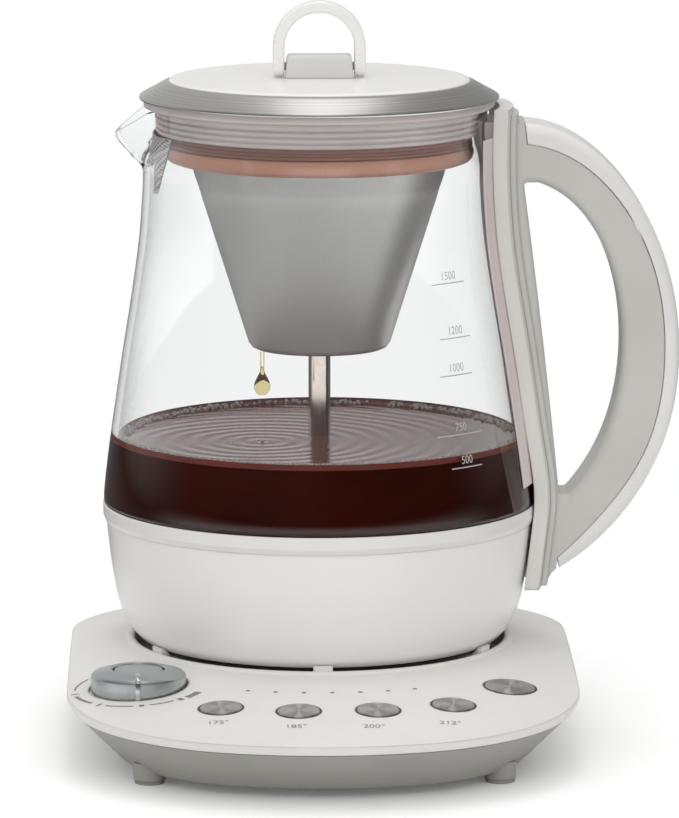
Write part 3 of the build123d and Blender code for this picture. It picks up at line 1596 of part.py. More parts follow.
bail_spring = bail_top - bail_half_width
with BuildPart() as lid_bail:
    with BuildSketch(Plane.XZ):
        with Locations((0, bail_spring)):
            Circle(bail_half_width)
        with Locations((0, (bail_spring + pivot_height - bail_depth / 2) / 2)):
            Rectangle(2 * bail_half_width, bail_spring - pivot_height + bail_depth / 2)
        with Locations((0, bail_spring)):
            Circle(bail_half_width - bail_leg, mode=Mode.SUBTRACT)
        with Locations((0, (bail_spring + disc_top) / 2)):
            Rectangle(2 * (bail_half_width - bail_leg), bail_spring - disc_top, mode=Mode.SUBTRACT)
    extrude(amount=bail_depth / 2, both=True)
    with BuildSketch(Plane.YZ.offset(-bail_half_width)):
        with Locations((0, pivot_height)):
            Circle(bail_depth / 2)
        with Locations((0, (bail_top + pivot_height) / 2)):
            Rectangle(bail_depth, bail_top - pivot_height)
    extrude(amount=2 * bail_half_width, mode=Mode.INTERSECT)
    with BuildSketch(Plane.YZ.offset(-bail_half_width + bail_pin_inset - running_gap)):
        with Locations((0, pivot_height)):
            Circle(bail_pin_radius + running_gap)
    extrude(amount=2 * (bail_half_width - bail_pin_inset + running_gap), mode=Mode.SUBTRACT)
lid_bail.part.label = "lid_bail"
export_step(lid_bail.part, "parts/lid_bail.step")

# ---------------------------------------------------------------- brewing basket

with BuildPart() as infuser_ring:
    with BuildSketch(Plane.XZ) as ring_outline:
        with BuildLine():
            Polyline(
                (ring_bore, ring_bottom),
                (ring_radius, ring_bottom),
                (ring_radius, ring_top),
                (ring_bore, ring_top),
                (ring_bore, rim_height + basket_sheet + seat_gap),
                (basket_rim_radius + seat_gap, rim_height + basket_sheet + seat_gap),
                (basket_rim_radius + seat_gap, rim_height - seat_gap),
                (ring_bore, rim_height - seat_gap),
                close=True,
            )
        make_face()
        fillet(ring_outline.vertices().group_by(Axis.X)[-1], ring_round)
    revolve(axis=Axis.Z)
infuser_ring.part.label = "infuser_ring"
export_step(infuser_ring.part, "parts/infuser_ring.step")

with BuildPart() as infuser_basket:
    revolve(
        section([
            (tube_radius + seat_gap, basket_bottom),
            (basket_floor_radius, basket_bottom),
            (basket_floor_radius + basket_corner, basket_bottom + 0.9 * basket_corner),
            (basket_root_radius, rim_height),
            (basket_rim_radius, rim_height),
            (basket_rim_radius, rim_height + basket_sheet),
            (basket_root_radius - basket_sheet, rim_height + basket_sheet),
            (basket_floor_radius + basket_corner - basket_sheet, basket_bottom + 1.1 * basket_corner),
            (basket_floor_radius - 0.4, basket_bottom + basket_sheet),
            (tube_radius + seat_gap, basket_bottom + basket_sheet),
        ]),
        axis=Axis.Z,
    )
infuser_basket.part.label = "infuser_basket"
export_step(infuser_basket.part, "parts/infuser_basket.step")

# Riser tube with the bell at its foot that catches the steam.
with BuildPart() as riser_tube:
    revolve(
        section([
            (tube_bore, tube_top),
            (tube_bore, tube_bottom),
            (bell_radius - bell_sheet, bell_bottom + 1.5),
            (bell_radius - bell_sheet, bell_bottom),
            (bell_radius, bell_bottom),
            (bell_radius, bell_bottom + 2.0),
            (tube_radius, tube_bottom + 1.0),
            (tube_radius, basket_bottom - seat_gap - tube_stop),
            (tube_stop_radius, basket_bottom - seat_gap - tube_stop),
            (tube_stop_radius, basket_bottom - seat_gap),
            (tube_radius, basket_bottom - seat_gap),
            (tube_radius, tube_top),
        ]),
        axis=Axis.Z,
    )
riser_tube.part.label = "riser_tube"
export_step(riser_tube.part, "parts/riser_tube.step")

# Spray head: a capped rose on the top of the riser that showers the leaves.
with BuildPart() as spray_head:
    revolve(
        section([
            (tube_radius + seat_gap, tube_top - 6.0),
            (tube_radius + seat_gap + spray_sheet, tube_top - 6.0),
            (tube_radius + seat_gap + spray_sheet, tube_top),
            (spray_radius, tube_top),
            (spray_radius, spray_top - 1.5),
            (spray_radius - 4.0, spray_top),
            (0, spray_top),
            (0, spray_top - spray_sheet),
            (spray_radius - 4.2, spray_top - spray_sheet),
            (spray_radius - spray_sheet, spray_top - 2.3),
            (spray_radius - spray_sheet, tube_top + spray_sheet),
            (tube_radius + seat_gap, tube_top + spray_sheet),
        ]),
        axis=Axis.Z,
    )
    with BuildSketch(Plane.XY.offset(tube_top - 1)):
        with PolarLocations(spray_radius - 3.5, spray_holes):
            Circle(spray_hole_radius)
    extrude(amount=spray_sheet + 1.5, mode=Mode.SUBTRACT)
spray_head.part.label = "spray_head"
export_step(spray_head.part, "parts/spray_head.step")
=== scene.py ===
from math import atan2, cos, hypot, pi, radians, sin, sqrt, tan, tau
from random import Random

import bpy
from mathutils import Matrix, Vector


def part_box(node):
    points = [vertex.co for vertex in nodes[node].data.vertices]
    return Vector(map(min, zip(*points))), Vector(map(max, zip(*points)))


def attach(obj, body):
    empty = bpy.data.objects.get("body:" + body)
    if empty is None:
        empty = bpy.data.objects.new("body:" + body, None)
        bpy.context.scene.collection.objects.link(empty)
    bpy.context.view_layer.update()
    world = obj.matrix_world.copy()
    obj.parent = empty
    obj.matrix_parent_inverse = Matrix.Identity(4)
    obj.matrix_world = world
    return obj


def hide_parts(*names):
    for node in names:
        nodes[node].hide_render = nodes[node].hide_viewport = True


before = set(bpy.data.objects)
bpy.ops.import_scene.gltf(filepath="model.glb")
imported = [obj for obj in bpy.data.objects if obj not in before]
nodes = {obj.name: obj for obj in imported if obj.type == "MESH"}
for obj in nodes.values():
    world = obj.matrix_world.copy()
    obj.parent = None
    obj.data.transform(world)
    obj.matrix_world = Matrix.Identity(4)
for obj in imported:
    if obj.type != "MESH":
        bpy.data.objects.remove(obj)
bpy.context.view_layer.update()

# ---------------------------------------------------------------- base, top cover
# One injection-moulded piece of warm white ABS with a very fine spark-eroded
# texture. It carries the deck, the recess for the jug and the wells for the dial
# and the buttons, and clips over the skirt.


def tone(code):
    """A colour written as an sRGB hex value, as linear RGBA."""
    channels = [int(code[place:place + 2], 16) / 255 for place in (1, 3, 5)]
    return [c / 12.92 if c <= 0.04045 else ((c + 0.055) / 1.055) ** 2.4 for c in channels] + [1.0]


def add_node(surface, kind, settings=None, *feeds, **links):
    """Adds a shader node with its settings; feeds fill its inputs in order, links by name."""
    node = surface.node_tree.nodes.new(kind)
    for name, value in (settings or {}).items():
        if name == "stops":
            for stop, (place, colour) in zip(node.color_ramp.elements, value):
                stop.position = place
                stop.color = tone(colour)
        elif name in node.inputs:
            node.inputs[name].default_value = value
        else:
            setattr(node, name, value)
    for place, feed in enumerate(feeds):
        if isinstance(feed, float):
            node.inputs[place].default_value = feed
        else:
            surface.node_tree.links.new(feed, node.inputs[place])
    for name, socket in links.items():
        surface.node_tree.links.new(socket, node.inputs[name.replace("_", " ")])
    return node


def new_surface(name, **sockets):
    """A material whose Principled shader has the values given, and that shader."""
    surface = bpy.data.materials.new(name)
    surface.use_nodes = True
    shader = surface.node_tree.nodes["Principled BSDF"]
    for socket, value in sockets.items():
        shader.inputs[socket.replace("_", " ")].default_value = value
    return surface, shader


def moulded(name, light, dark, roughness, grain_mm, relief_mm, edge_mm=0.0, **sockets):
    """Moulded plastic or rubber: a faint drift of tone, the grain of its mould, soft edges."""
    surface, shader = new_surface(name, IOR=1.53, **sockets)
    drift_mm = 45
    place = add_node(surface, "ShaderNodeTexCoord").outputs["Object"]
    drift = add_node(surface, "ShaderNodeTexNoise", {"Scale": 1000 / drift_mm, "Detail": 2.0}, Vector=place)
    shade = add_node(
        surface, "ShaderNodeValToRGB", {"stops": [(0.3, dark), (0.7, light)]}, Fac=drift.outputs["Fac"]
    )
    grain = add_node(
        surface, "ShaderNodeTexNoise", {"Scale": 1000 / grain_mm, "Detail": 2.0}, Vector=place
    )
    polish = add_node(
        surface,
        "ShaderNodeMapRange",
        {"To Min": roughness * 0.85, "To Max": roughness * 1.15},
        Value=grain.outputs["Fac"],
    )
    relief = add_node(
        surface,
        "ShaderNodeBump",
        {"Strength": 0.35, "Distance": relief_mm / 1000},
        Height=grain.outputs["Fac"],
    )
    link = surface.node_tree.links.new
    if edge_mm:
        edge = add_node(surface, "ShaderNodeBevel", {"samples": 4, "Radius": edge_mm / 1000})
        link(edge.outputs["Normal"], relief.inputs["Normal"])
    link(shade.outputs["Color"], shader.inputs["Base Color"])
    link(polish.outputs["Result"], shader.inputs["Roughness"])
    link(relief.outputs["Normal"], shader.inputs["Normal"])
    return surface


def dress(node, surface):
    """Gives a CAD node its material."""
    nodes[node].data.materials.clear()
    nodes[node].data.materials.append(surface)


cover_white = moulded("cover_white_abs", "#e9e8e4", "#e4e2de", 0.42, 0.7, 0.02, 1.2)
dress("base_top_cover", cover_white)

# ---------------------------------------------------------------- base, skirt and feet
# Lower moulding of mid grey ABS, satin, with soft grey rubber feet pressed into
# its bosses. The screws are zinc-plated.

skirt_grey = moulded("skirt_grey_abs", "#a2a19c", "#9b9a94", 0.5, 0.8, 0.03, 0.6)
dress("base_skirt", skirt_grey)
foot_grey = moulded("foot_grey_rubber", "#9c9b96", "#92918c", 0.75, 0.5, 0.05, 0.5)
dress("rubber_feet", foot_grey)
gland_grey = moulded("gland_dark_rubber", "#55534f", "#4a4845", 0.7, 0.5, 0.05, 0.4)
dress("cord_gland", gland_grey)


def metal(name, light, dark, roughness, grain_mm, relief_mm, **sockets):
    """Bare metal: its tone drifts a little and its grain shows in the highlights."""
    surface, shader = new_surface(name, Metallic=1.0, **sockets)
    place = add_node(surface, "ShaderNodeTexCoord").outputs["Object"]
    grain = add_node(
        surface, "ShaderNodeTexNoise", {"Scale": 1000 / grain_mm, "Detail": 3.0}, Vector=place
    )
    shade = add_node(
        surface, "ShaderNodeValToRGB", {"stops": [(0.3, dark), (0.7, light)]}, Fac=grain.outputs["Fac"]
    )
    polish = add_node(
        surface,
        "ShaderNodeMapRange",
        {"To Min": roughness * 0.8, "To Max": roughness * 1.2},
        Value=grain.outputs["Fac"],
    )
    relief = add_node(
        surface,
        "ShaderNodeBump",
        {"Strength": 0.3, "Distance": relief_mm / 1000},
        Height=grain.outputs["Fac"],
    )
    link = surface.node_tree.links.new
    link(shade.outputs["Color"], shader.inputs["Base Color"])
    link(polish.outputs["Result"], shader.inputs["Roughness"])
    link(relief.outputs["Normal"], shader.inputs["Normal"])
    return surface


screw_zinc = metal("screw_zinc", "#b9bab8", "#8f908e", 0.35, 0.6, 0.01)
screws = ("base_screws", "board_screws", "floor_screws", "handle_screws", "lid_screw")
for node in (*screws, "encoder_shaft"):
    dress(node, screw_zinc)

# ---------------------------------------------------------------- base, inside
# The socket tower is dull black glass-filled nylon with bright brass contacts. The
# boards are green glass-fibre laminate with plain black components, and a taped
# transformer stands on the power board.

socket_black = moulded("socket_black_nylon", "#26262a", "#1c1c1f", 0.5, 0.6, 0.03, 0.3)
nylon_parts = ("socket_housing", "jug_connector", "dial_encoder", "button_switches", "relay")
for node in (*nylon_parts, "thermal_cutouts"):
    dress(node, socket_black)
contact_brass = metal("contact_brass", "#d8b878", "#b99a5c", 0.25, 0.5, 0.01)
for node in ("socket_contacts", "connector_contacts"):
    dress(node, contact_brass)
board_green = moulded("board_green_laminate", "#2c6a45", "#245a3a", 0.4, 1.2, 0.03)
for node in ("control_board", "power_board"):
    dress(node, board_green)
transformer_tape = moulded("transformer_yellow_tape", "#d7ae48", "#c69c38", 0.4, 1.0, 0.03, 0.4)
dress("transformer", transformer_tape)
light_smoked = moulded("light_smoked_acrylic", "#77766f", "#6c6b65", 0.3, 0.5, 0.01)
dress("light_guide", light_smoked)

# ---------------------------------------------------------------- dial
# A ring of fine-blasted aluminium with a broad chamfer turns round a raised disc,
# with a dark groove between them, and both look soft and even. A slim polished bar
# is let into the ring and runs down its side as the pointer.


def take(*chosen):
    """Leaves only these objects selected, the last one active."""
    bpy.ops.object.select_all(action="DESELECT")
    for obj in chosen:
        obj.select_set(True)
        bpy.context.view_layer.objects.active = obj


def smooth(piece, angle=32):
    """Soft shading, except across edges sharper than the angle."""
    take(piece)
    bpy.ops.object.shade_smooth_by_angle(angle=radians(angle))


def rounded(piece, width_mm, segments=3, angle=32):
    """Rounds the sharp edges, as a mould or a polishing wheel does."""
    take(piece)
    bevel = piece.modifiers.new("edge", "BEVEL")
    bevel.width = width_mm / 1000
    bevel.segments = segments
    bevel.limit_method = "ANGLE"
    bevel.angle_limit = radians(angle)
    bevel.harden_normals = False
    bpy.ops.object.modifier_apply(modifier="edge")


def turned(name, outline, centre=(0.0, 0.0), steps=128):
    """A closed outline of (radius, height) in mm, spun round an upright axis."""
    bpy.ops.object.select_all(action="DESELECT")
    bpy.ops.mesh.primitive_circle_add(vertices=len(outline), radius=0.01)
    piece = bpy.context.object
    piece.name = name
    for vertex, (radius, height) in zip(piece.data.vertices, outline):
        vertex.co = (centre[0] / 1000 + radius / 1000, centre[1] / 1000, height / 1000)
    bpy.ops.object.mode_set(mode="EDIT")
    bpy.ops.mesh.select_all(action="SELECT")
    axis_foot = (centre[0] / 1000, centre[1] / 1000, 0)
    bpy.ops.mesh.spin(steps=steps, angle=tau, center=axis_foot, axis=(0, 0, 1))
    bpy.ops.mesh.select_all(action="SELECT")
    bpy.ops.mesh.remove_doubles(threshold=2e-6)
    bpy.ops.mesh.normals_make_consistent(inside=False)
    bpy.ops.object.mode_set(mode="OBJECT")
    return piece


def slab(name, outline, near, far, lay):
    """A closed outline in mm, laid at near and drawn out to far; lay gives each point's place."""
    bpy.ops.object.select_all(action="DESELECT")
    bpy.ops.mesh.primitive_circle_add(vertices=len(outline), radius=0.01, fill_type="NGON")
    piece = bpy.context.object
    piece.name = name
    for vertex, (across, up) in zip(piece.data.vertices, outline):
        vertex.co = Vector(lay(across, up, near)) / 1000
    way = (Vector(lay(0, 0, far)) - Vector(lay(0, 0, near))) / 1000
    bpy.ops.object.mode_set(mode="EDIT")
    bpy.ops.mesh.select_all(action="SELECT")
    bpy.ops.mesh.extrude_region_move(TRANSFORM_OT_translate={"value": way})
    bpy.ops.mesh.select_all(action="SELECT")
    bpy.ops.mesh.normals_make_consistent(inside=False)
    bpy.ops.object.mode_set(mode="OBJECT")
    return piece


def stands_for(piece, body, surface, slot=None, *stood_for):
    """Settles a finished piece: its material, the body it rides on and its nodes."""
    piece.data.materials.clear()
    piece.data.materials.append(surface)
    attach(piece, body)
    if stood_for:
        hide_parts(*stood_for)


dial_low, dial_high = (1000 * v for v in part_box("knob_ring"))
dial_x = (dial_low.x + dial_high.x) / 2
dial_y = -73.0
dial_z = dial_low.z
knob_blasted = metal("knob_blasted_aluminium", "#c2c6c7", "#b9bdbe", 0.32, 0.5, 0.015)
dial_ring = turned(
    "dial_ring",
    [
        (9.3, dial_z), (16.8, dial_z), (16.8, dial_z + 6.3), (16.0, dial_z + 7.1), (12.2, dial_z + 8.2),
        (10.0, dial_z + 8.75), (9.3, dial_z + 8.2),
    ],
    (dial_x, dial_y),
)
rounded(dial_ring, 0.35, 3, 18)
smooth(dial_ring, 20)
stands_for(dial_ring, "knob", knob_blasted, "knob_metal", "knob_ring")
dial_cap = turned(
    "dial_cap",
    [(0, dial_z + 0.5), (8.7, dial_z + 0.5), (8.7, dial_z + 7.8), (8.2, dial_z + 8.3), (0, dial_z + 8.3)],
    (dial_x, dial_y),
)
rounded(dial_cap, 0.2, 2, 25)
smooth(dial_cap, 25)
stands_for(dial_cap, "knob", knob_blasted, "knob_metal", "knob_cap")
pointer_half_width = 1.0
dial_pointer = slab(
    "dial_pointer",
    [
        (9.2, 7.5), (9.2, 8.9), (10.4, 9.25), (13.4, 8.8), (16.4, 7.8), (17.2, 7.0), (17.5, 6.2),
        (17.5, 0), (15.7, 0), (15.7, 5.3), (13.9, 7.0),
    ],
    -pointer_half_width,
    pointer_half_width,
    lambda out, up, side: (dial_x + side, dial_y - out, dial_z + up),
)
rounded(dial_pointer, 0.45, 3, 40)
smooth(dial_pointer, 40)
pointer_bright = metal("pointer_polished_aluminium", "#d6d8d8", "#cdd0d0", 0.2, 0.5, 0.01)
stands_for(dial_pointer, "knob", pointer_bright, "knob_white", "knob_pointer")

# ---------------------------------------------------------------- push buttons
# Caps of spun stainless steel: the lathe leaves fine rings, which draw light out
# into a bright bow tie. Each sits on a white acetal plunger in its well. A thin
# ring of black rubber round each cap is painted shade: it stands for the shaded
# gap between the cap and its well.

plunger_acetal = moulded("plunger_white_acetal", "#dcdbd7", "#d4d3ce", 0.35, 0.5, 0.01)
# Black ring material: painted shade for the shaded gap round each button cap.
gap_shade_black = moulded("gap_painted_shade_black", "#3a3836", "#312f2d", 0.4, 0.5, 0.01)
deck_slope = radians(6.5)


def lathe_rings(surface, shader, centre, pitch_mm, light, dark):
    """Fine rings round an upright axis: they shade the metal and turn its highlights."""
    place = add_node(surface, "ShaderNodeTexCoord").outputs["Object"]
    to_centre = {"Location": [-centre[0], -centre[1], 0]}
    local = add_node(surface, "ShaderNodeMapping", to_centre, Vector=place)
    split = add_node(surface, "ShaderNodeSeparateXYZ", Vector=local.outputs["Vector"])
    side, depth = split.outputs["X"], split.outputs["Y"]
    flat = add_node(surface, "ShaderNodeCombineXYZ", None, side, depth)
    reach = add_node(surface, "ShaderNodeVectorMath", {"operation": "LENGTH"}, flat.outputs["Vector"])
    rings = add_node(
        surface,
        "ShaderNodeTexNoise",
        {"noise_dimensions": "1D", "Scale": 1000 / pitch_mm, "Detail": 2.0},
        W=reach.outputs["Value"],
    )
    shade = add_node(
        surface, "ShaderNodeValToRGB", {"stops": [(0.3, dark), (0.7, light)]}, Fac=rings.outputs["Fac"]
    )
    relief = add_node(
        surface, "ShaderNodeBump", {"Strength": 0.2, "Distance": 0.00001}, Height=rings.outputs["Fac"]
    )
    back = add_node(surface, "ShaderNodeMath", {"operation": "MULTIPLY"}, depth, -1.0)
    round_way = add_node(surface, "ShaderNodeCombineXYZ", None, back.outputs["Value"], side)
    turned_way = add_node(
        surface,
        "ShaderNodeVectorTransform",
        {"vector_type": "VECTOR", "convert_from": "OBJECT", "convert_to": "WORLD"},
        Vector=round_way.outputs["Vector"],
    )
    even = add_node(surface, "ShaderNodeVectorMath", {"operation": "NORMALIZE"}, turned_way.outputs["Vector"])
    link = surface.node_tree.links.new
    link(shade.outputs["Color"], shader.inputs["Base Color"])
    link(relief.outputs["Normal"], shader.inputs["Normal"])
    link(even.outputs["Vector"], shader.inputs["Tangent"])


def lay_tilted(piece, middle):
    """Tilts a piece square to the deck, which falls away from the jug, and sets it in place."""
    turn = atan2(middle.y, middle.x)
    for vertex in piece.data.vertices:
        x, y, z = (1000 * v for v in vertex.co)
        out = x * cos(turn) + y * sin(turn)
        along = -x * sin(turn) + y * cos(turn)
        up = -out * sin(deck_slope) + z * cos(deck_slope)
        out = out * cos(deck_slope) + z * sin(deck_slope)
        x = middle.x + out * cos(turn) - along * sin(turn)
        y = middle.y + out * sin(turn) + along * cos(turn)
        vertex.co = Vector((x, y, middle.z + up)) / 1000


for button in [f"temperature_button_{number}" for number in (1, 2, 3, 4)] + ["start_button"]:
    low, high = (1000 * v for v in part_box(button + "_cap"))
    middle = (low + high) / 2
    reach = (high.x - low.x) / 2
    spun_steel, spun_shader = new_surface(
        button + "_spun_steel", Metallic=1.0, Roughness=0.36, Anisotropic=1.0, Anisotropic_Rotation=0.25
    )
    lathe_rings(spun_steel, spun_shader, middle / 1000, 0.4, "#d2d1cd", "#bdbcb8")
    cap = turned(
        button + "_spun_cap",
        [
            (0, -0.95), (reach - 1.0, -0.95), (reach - 0.65, -0.5), (reach - 0.5, 0.35),
            (reach - 0.75, 0.75), (reach - 1.05, 0.8), (0, 0.8),
        ],
        steps=64,
    )
    lay_tilted(cap, middle)
    smooth(cap, 25)
    stands_for(cap, button, spun_steel, "button_steel", button + "_cap")
    # A thin black ring round the cap: painted shade standing for the shaded gap in its well.
    gap_shade_inner, gap_shade_outer = reach - 0.42, reach + 0.25
    seal = turned(
        button + "_seal",
        [(gap_shade_inner, -0.3), (gap_shade_outer, -0.3), (gap_shade_outer, 0.25), (gap_shade_inner, 0.25)],
        steps=64,
    )
    lay_tilted(seal, middle)
    smooth(seal, 25)
    stands_for(seal, "base", gap_shade_black)
    dress(button + "_plunger", plunger_acetal)

# ---------------------------------------------------------------- printing on the deck
# Thin grey ink, flat and matt: a broken circle of marks round the dial, which grow
# bolder as it goes, and a plain figure under each temperature button.

ink_grey = moulded("ink_grey", "#8b8a86", "#83827e", 0.5, 0.5, 0.005)
recess_radius, recess_edge = 71.2, 31.6
ink_lift = 0.07


def on_deck(x, y):
    """The place just above the sloping deck at (x, y), all in mm."""
    return x, y, recess_edge - (hypot(x, y) - recess_radius) * tan(deck_slope) + ink_lift


def strip(start, end, inner, outer, lay, cuts=12):
    """A flat strip; lay gives each (place along it, place across it) its place in mm."""
    bpy.ops.object.select_all(action="DESELECT")
    bpy.ops.mesh.primitive_grid_add(x_subdivisions=cuts, y_subdivisions=1, size=2)
    piece = bpy.context.object
    for vertex in piece.data.vertices:
        along = start + (end - start) * (vertex.co.x + 1) / 2
        across = inner + (outer - inner) * (vertex.co.y + 1) / 2
        vertex.co = Vector(lay(along, across)) / 1000
    return piece


def figure(words, height_mm, squeeze, lay):
    """A line of figures in ink; lay gives each (mm across, mm up) its place in mm."""
    bpy.ops.object.select_all(action="DESELECT")
    bpy.ops.object.text_add()
    writing = bpy.context.object
    writing.data.body = words
    writing.data.align_x = "CENTER"
    writing.data.size = height_mm / 700
    bpy.ops.object.convert(target="MESH")
    piece = bpy.context.object
    for vertex in piece.data.vertices:
        vertex.co = Vector(lay(1000 * squeeze * vertex.co.x, 1000 * vertex.co.y)) / 1000
    return piece


def round_dial(angle, radius):
    """The place on the deck at an angle in degrees and a radius from the dial's middle."""
    return on_deck(dial_x + radius * sin(radians(angle)), dial_y - radius * cos(radians(angle)))


dial_marks = [
    strip(start, end, inner, outer, round_dial)
    for start, end, inner, outer in (
        (-132, -130, 20.8, 23.2), (-127, -92, 22.3, 23.0), (-81, -79, 21.2, 24.2), (-73, -45, 22.3, 23.7),
        (-37, -34.5, 21.9, 25.0), (-29, -4, 23.0, 23.9), (1, 5.5, 22.5, 24.5), (10, 32, 23.2, 24.1),
        (36, 41, 22.8, 25.4), (45, 61, 23.0, 25.6),
    )
]
temperatures = (
    ("175°", -37.4, -121.2), ("185°", -10.4, -127.4), ("200°", 16.6, -127.5), ("212°", 43.2, -122.1),
)
for words, x, y in temperatures:
    dial_marks.append(figure(words, 3.7, 0.78, lambda across, up: on_deck(x + across, y + up)))
take(*dial_marks)
bpy.ops.object.join()
deck_print = bpy.context.object
deck_print.name = "deck_print"
stands_for(deck_print, "base", ink_grey)

# ---------------------------------------------------------------- jug, bowl
# Glossy white polypropylene bowl, deep and slightly bellied, polished in its
# mould. It stands on a black rubber foot ring, and a thin dark joint parts it from
# the white collar above.


def flowing(points, count):
    """Even points on a smooth curve through the given (radius, height) points."""
    ends = [points[0]] + list(points) + [points[-1]]
    curve = []
    for four in zip(ends, ends[1:], ends[2:], ends[3:]):
        for step in range(count):
            t = step / count
            curve.append(tuple(
                q + (r - p) * t / 2 + (2 * p - 5 * q + 4 * r - s) * t**2 / 2
                + (3 * q - p - 3 * r + s) * t**3 / 2
                for p, q, r, s in zip(*four)
            ))
    return curve + [points[-1]]


def inward(curve, depth):
    """The curve moved square to itself towards the axis."""
    moved = []
    for place, (radius, height) in enumerate(curve):
        before = curve[max(place - 1, 0)]
        after = curve[min(place + 1, len(curve) - 1)]
        out, up = after[0] - before[0], after[1] - before[1]
        length = hypot(out, up) or 1
        moved.append((radius - depth * up / length, height + depth * out / length))
    return moved


shell_curve = [
    (63.5, 31.2), (66.5, 33.9), (69.4, 37.5), (73.1, 45.3), (75.6, 58.0), (77.1, 70.0), (77.7, 76.0),
]
bowl_gloss = moulded("bowl_gloss_white", "#f1f0ee", "#edecea", 0.2, 3.0, 0.01, Specular_IOR_Level=0.3)
foot_black = moulded("foot_black_rubber", "#2f2b29", "#272422", 0.2, 1.5, 0.02)
bowl_wall = 2.5
bowl_line = flowing(shell_curve, 6)
bowl_outside = [(65.9, 33.35)] + [(r, z) for r, z in bowl_line if z > 33.6]
bowl_inside = [(r, z) for r, z in reversed(inward(bowl_line, bowl_wall)) if z > 34.6] + [(62.8, 34.0)]
collar_seat = [(shell_curve[-1][0] - bowl_wall, shell_curve[-1][1])]
bowl = turned("jug_bowl", bowl_outside + collar_seat + bowl_inside, steps=192)
smooth(bowl)
stands_for(bowl, "jug", bowl_gloss, "shell_white", "jug_shell")
bowl_foot = turned(
    "jug_foot_ring", [(63.5, 31.25), (65.7, 33.25), (62.5, 33.9), (59.2, 33.9), (59.2, 31.25)]
)
rounded(bowl_foot, 0.3, 2)
smooth(bowl_foot)
stands_for(bowl_foot, "jug", foot_black)
dress("jug_floor_cover", bowl_gloss)

# ---------------------------------------------------------------- jug, collar
# Slim ring of warm white polypropylene that the glass is bonded into, glossy as the
# bowl is. Its top edge is rounded.

collar_gloss = moulded("collar_gloss_white", "#eae8e5", "#e5e3e0", 0.25, 3.0, 0.01, 0.8)
dress("jug_collar", collar_gloss)

# ---------------------------------------------------------------- heating plate
# Pressed stainless floor, satin bright, with its pale silicone seal, over a dull
# cast aluminium spreader and a tubular heater.

plate_steel = metal("plate_pressed_steel", "#b9b8b6", "#a5a4a2", 0.28, 0.8, 0.02)
for node in ("heating_plate", "temperature_probe", "heater_tube"):
    dress(node, plate_steel)
spreader_cast = metal("spreader_cast_aluminium", "#b4b4b3", "#a0a09f", 0.5, 1.2, 0.06)
dress("heat_spreader", spreader_cast)
seal_silicone = moulded("seal_silicone", "#d9d5d0", "#d0ccc6", 0.45, 0.8, 0.02)
dress("plate_seal", seal_silicone)

# ---------------------------------------------------------------- glass
# Blown borosilicate body, clear and even, with a fire-polished rim and a drawn
# V-shaped spout whose lip falls towards its tip.

glass_curve = [
    (73.2, 76.6), (77.0, 79.4), (78.2, 82.6), (78.5, 86.5), (76.3, 105.0), (71.5, 137.5), (68.5, 156.0),
    (65.4, 178.0), (64.0, 196.0), (63.5, 205.0), (61.0, 213.5), (60.5, 220.0), (61.0, 226.7),
]
glass_wall = 2.5
glass_outer = flowing(glass_curve, 6)
glass_inner = inward(glass_outer, glass_wall)
for end in (0, -1):
    radius, height = glass_curve[end]
    glass_inner[end] = (radius - glass_wall, height)
glass_body = turned("glass_body", glass_outer + glass_inner[::-1], steps=288)
rounded(glass_body, 1.15, 6, 50)
neck_height, spout_foot, rim_height = 196.0, 205.0, 226.7
spout_half_angle = radians(27)
spout_crease = 0.05
lip_fall = 0.72


def spout_reach(radius, turn, height):
    """Radius of the wall at a turn from the spout, where the drawn V stands out."""
    tip = 64.0 + 0.95 * (height - spout_foot)
    if tip <= 52.0 or abs(turn) > spout_half_angle:
        return radius
    side = sqrt(sin(turn) ** 2 + spout_crease**2) - spout_crease
    drawn = tip / (cos(turn) + (tip - 50.0) / 24.0 * side)
    blend = max(0.0, 1.0 - abs(drawn - radius) / 2.0)
    return max(drawn, radius) + 0.5 * blend * blend


for vertex in glass_body.data.vertices:
    x, y, z = (1000 * v for v in vertex.co)
    if z < neck_height or x > -20.0:
        continue
    radius, turn = hypot(x, y), atan2(y, -x)
    wall_radius = next((r for r, h in glass_outer if h >= z), glass_curve[-1][0])
    height = z
    for _ in range(6):
        push = spout_reach(wall_radius, turn, height) - wall_radius
        past = max(0.0, (radius + push) * cos(turn) - glass_curve[-1][0])
        share = min(max((z - spout_foot) / (rim_height - spout_foot), 0.0), 1.0)
        height = z - lip_fall * past * share
    reach = radius + push
    vertex.co = (-reach * cos(turn) / 1000, reach * sin(turn) / 1000, height / 1000)
smooth(glass_body, 60)
glass_clear, glass_shader = new_surface(
    "glass_clear_borosilicate", Transmission_Weight=1.0, IOR=1.47, Roughness=0.0, Specular_IOR_Level=0.2
)
glass_shader.inputs["Base Color"].default_value = tone("#feffff")
glass_place = add_node(glass_clear, "ShaderNodeTexCoord").outputs["Object"]
glass_waves = add_node(
    glass_clear, "ShaderNodeTexNoise", {"Scale": 1000 / 35, "Detail": 1.0}, Vector=glass_place
)
glass_relief = add_node(
    glass_clear, "ShaderNodeBump", {"Strength": 0.15, "Distance": 0.0001}, Height=glass_waves.outputs["Fac"]
)
glass_clear.node_tree.links.new(glass_relief.outputs["Normal"], glass_shader.inputs["Normal"])
stands_for(glass_body, "jug", glass_clear, "clear_glass", "glass_jug")

# ---------------------------------------------------------------- scale on the glass
# Fired pale grey ink: a line and a plain figure for each filling level.


def glass_radius(height):
    """Outer radius of the glass at a height, in mm."""
    for (low_radius, low), (high_radius, high) in zip(glass_outer, glass_outer[1:]):
        if low <= height <= high:
            return low_radius + (high_radius - low_radius) * (height - low) / (high - low)


def on_glass(angle, height):
    """The place just off the glass at an angle from the front, in degrees, and a height in mm."""
    radius = glass_radius(height) + 0.06
    return radius * sin(radians(angle)), -radius * cos(radians(angle)), height


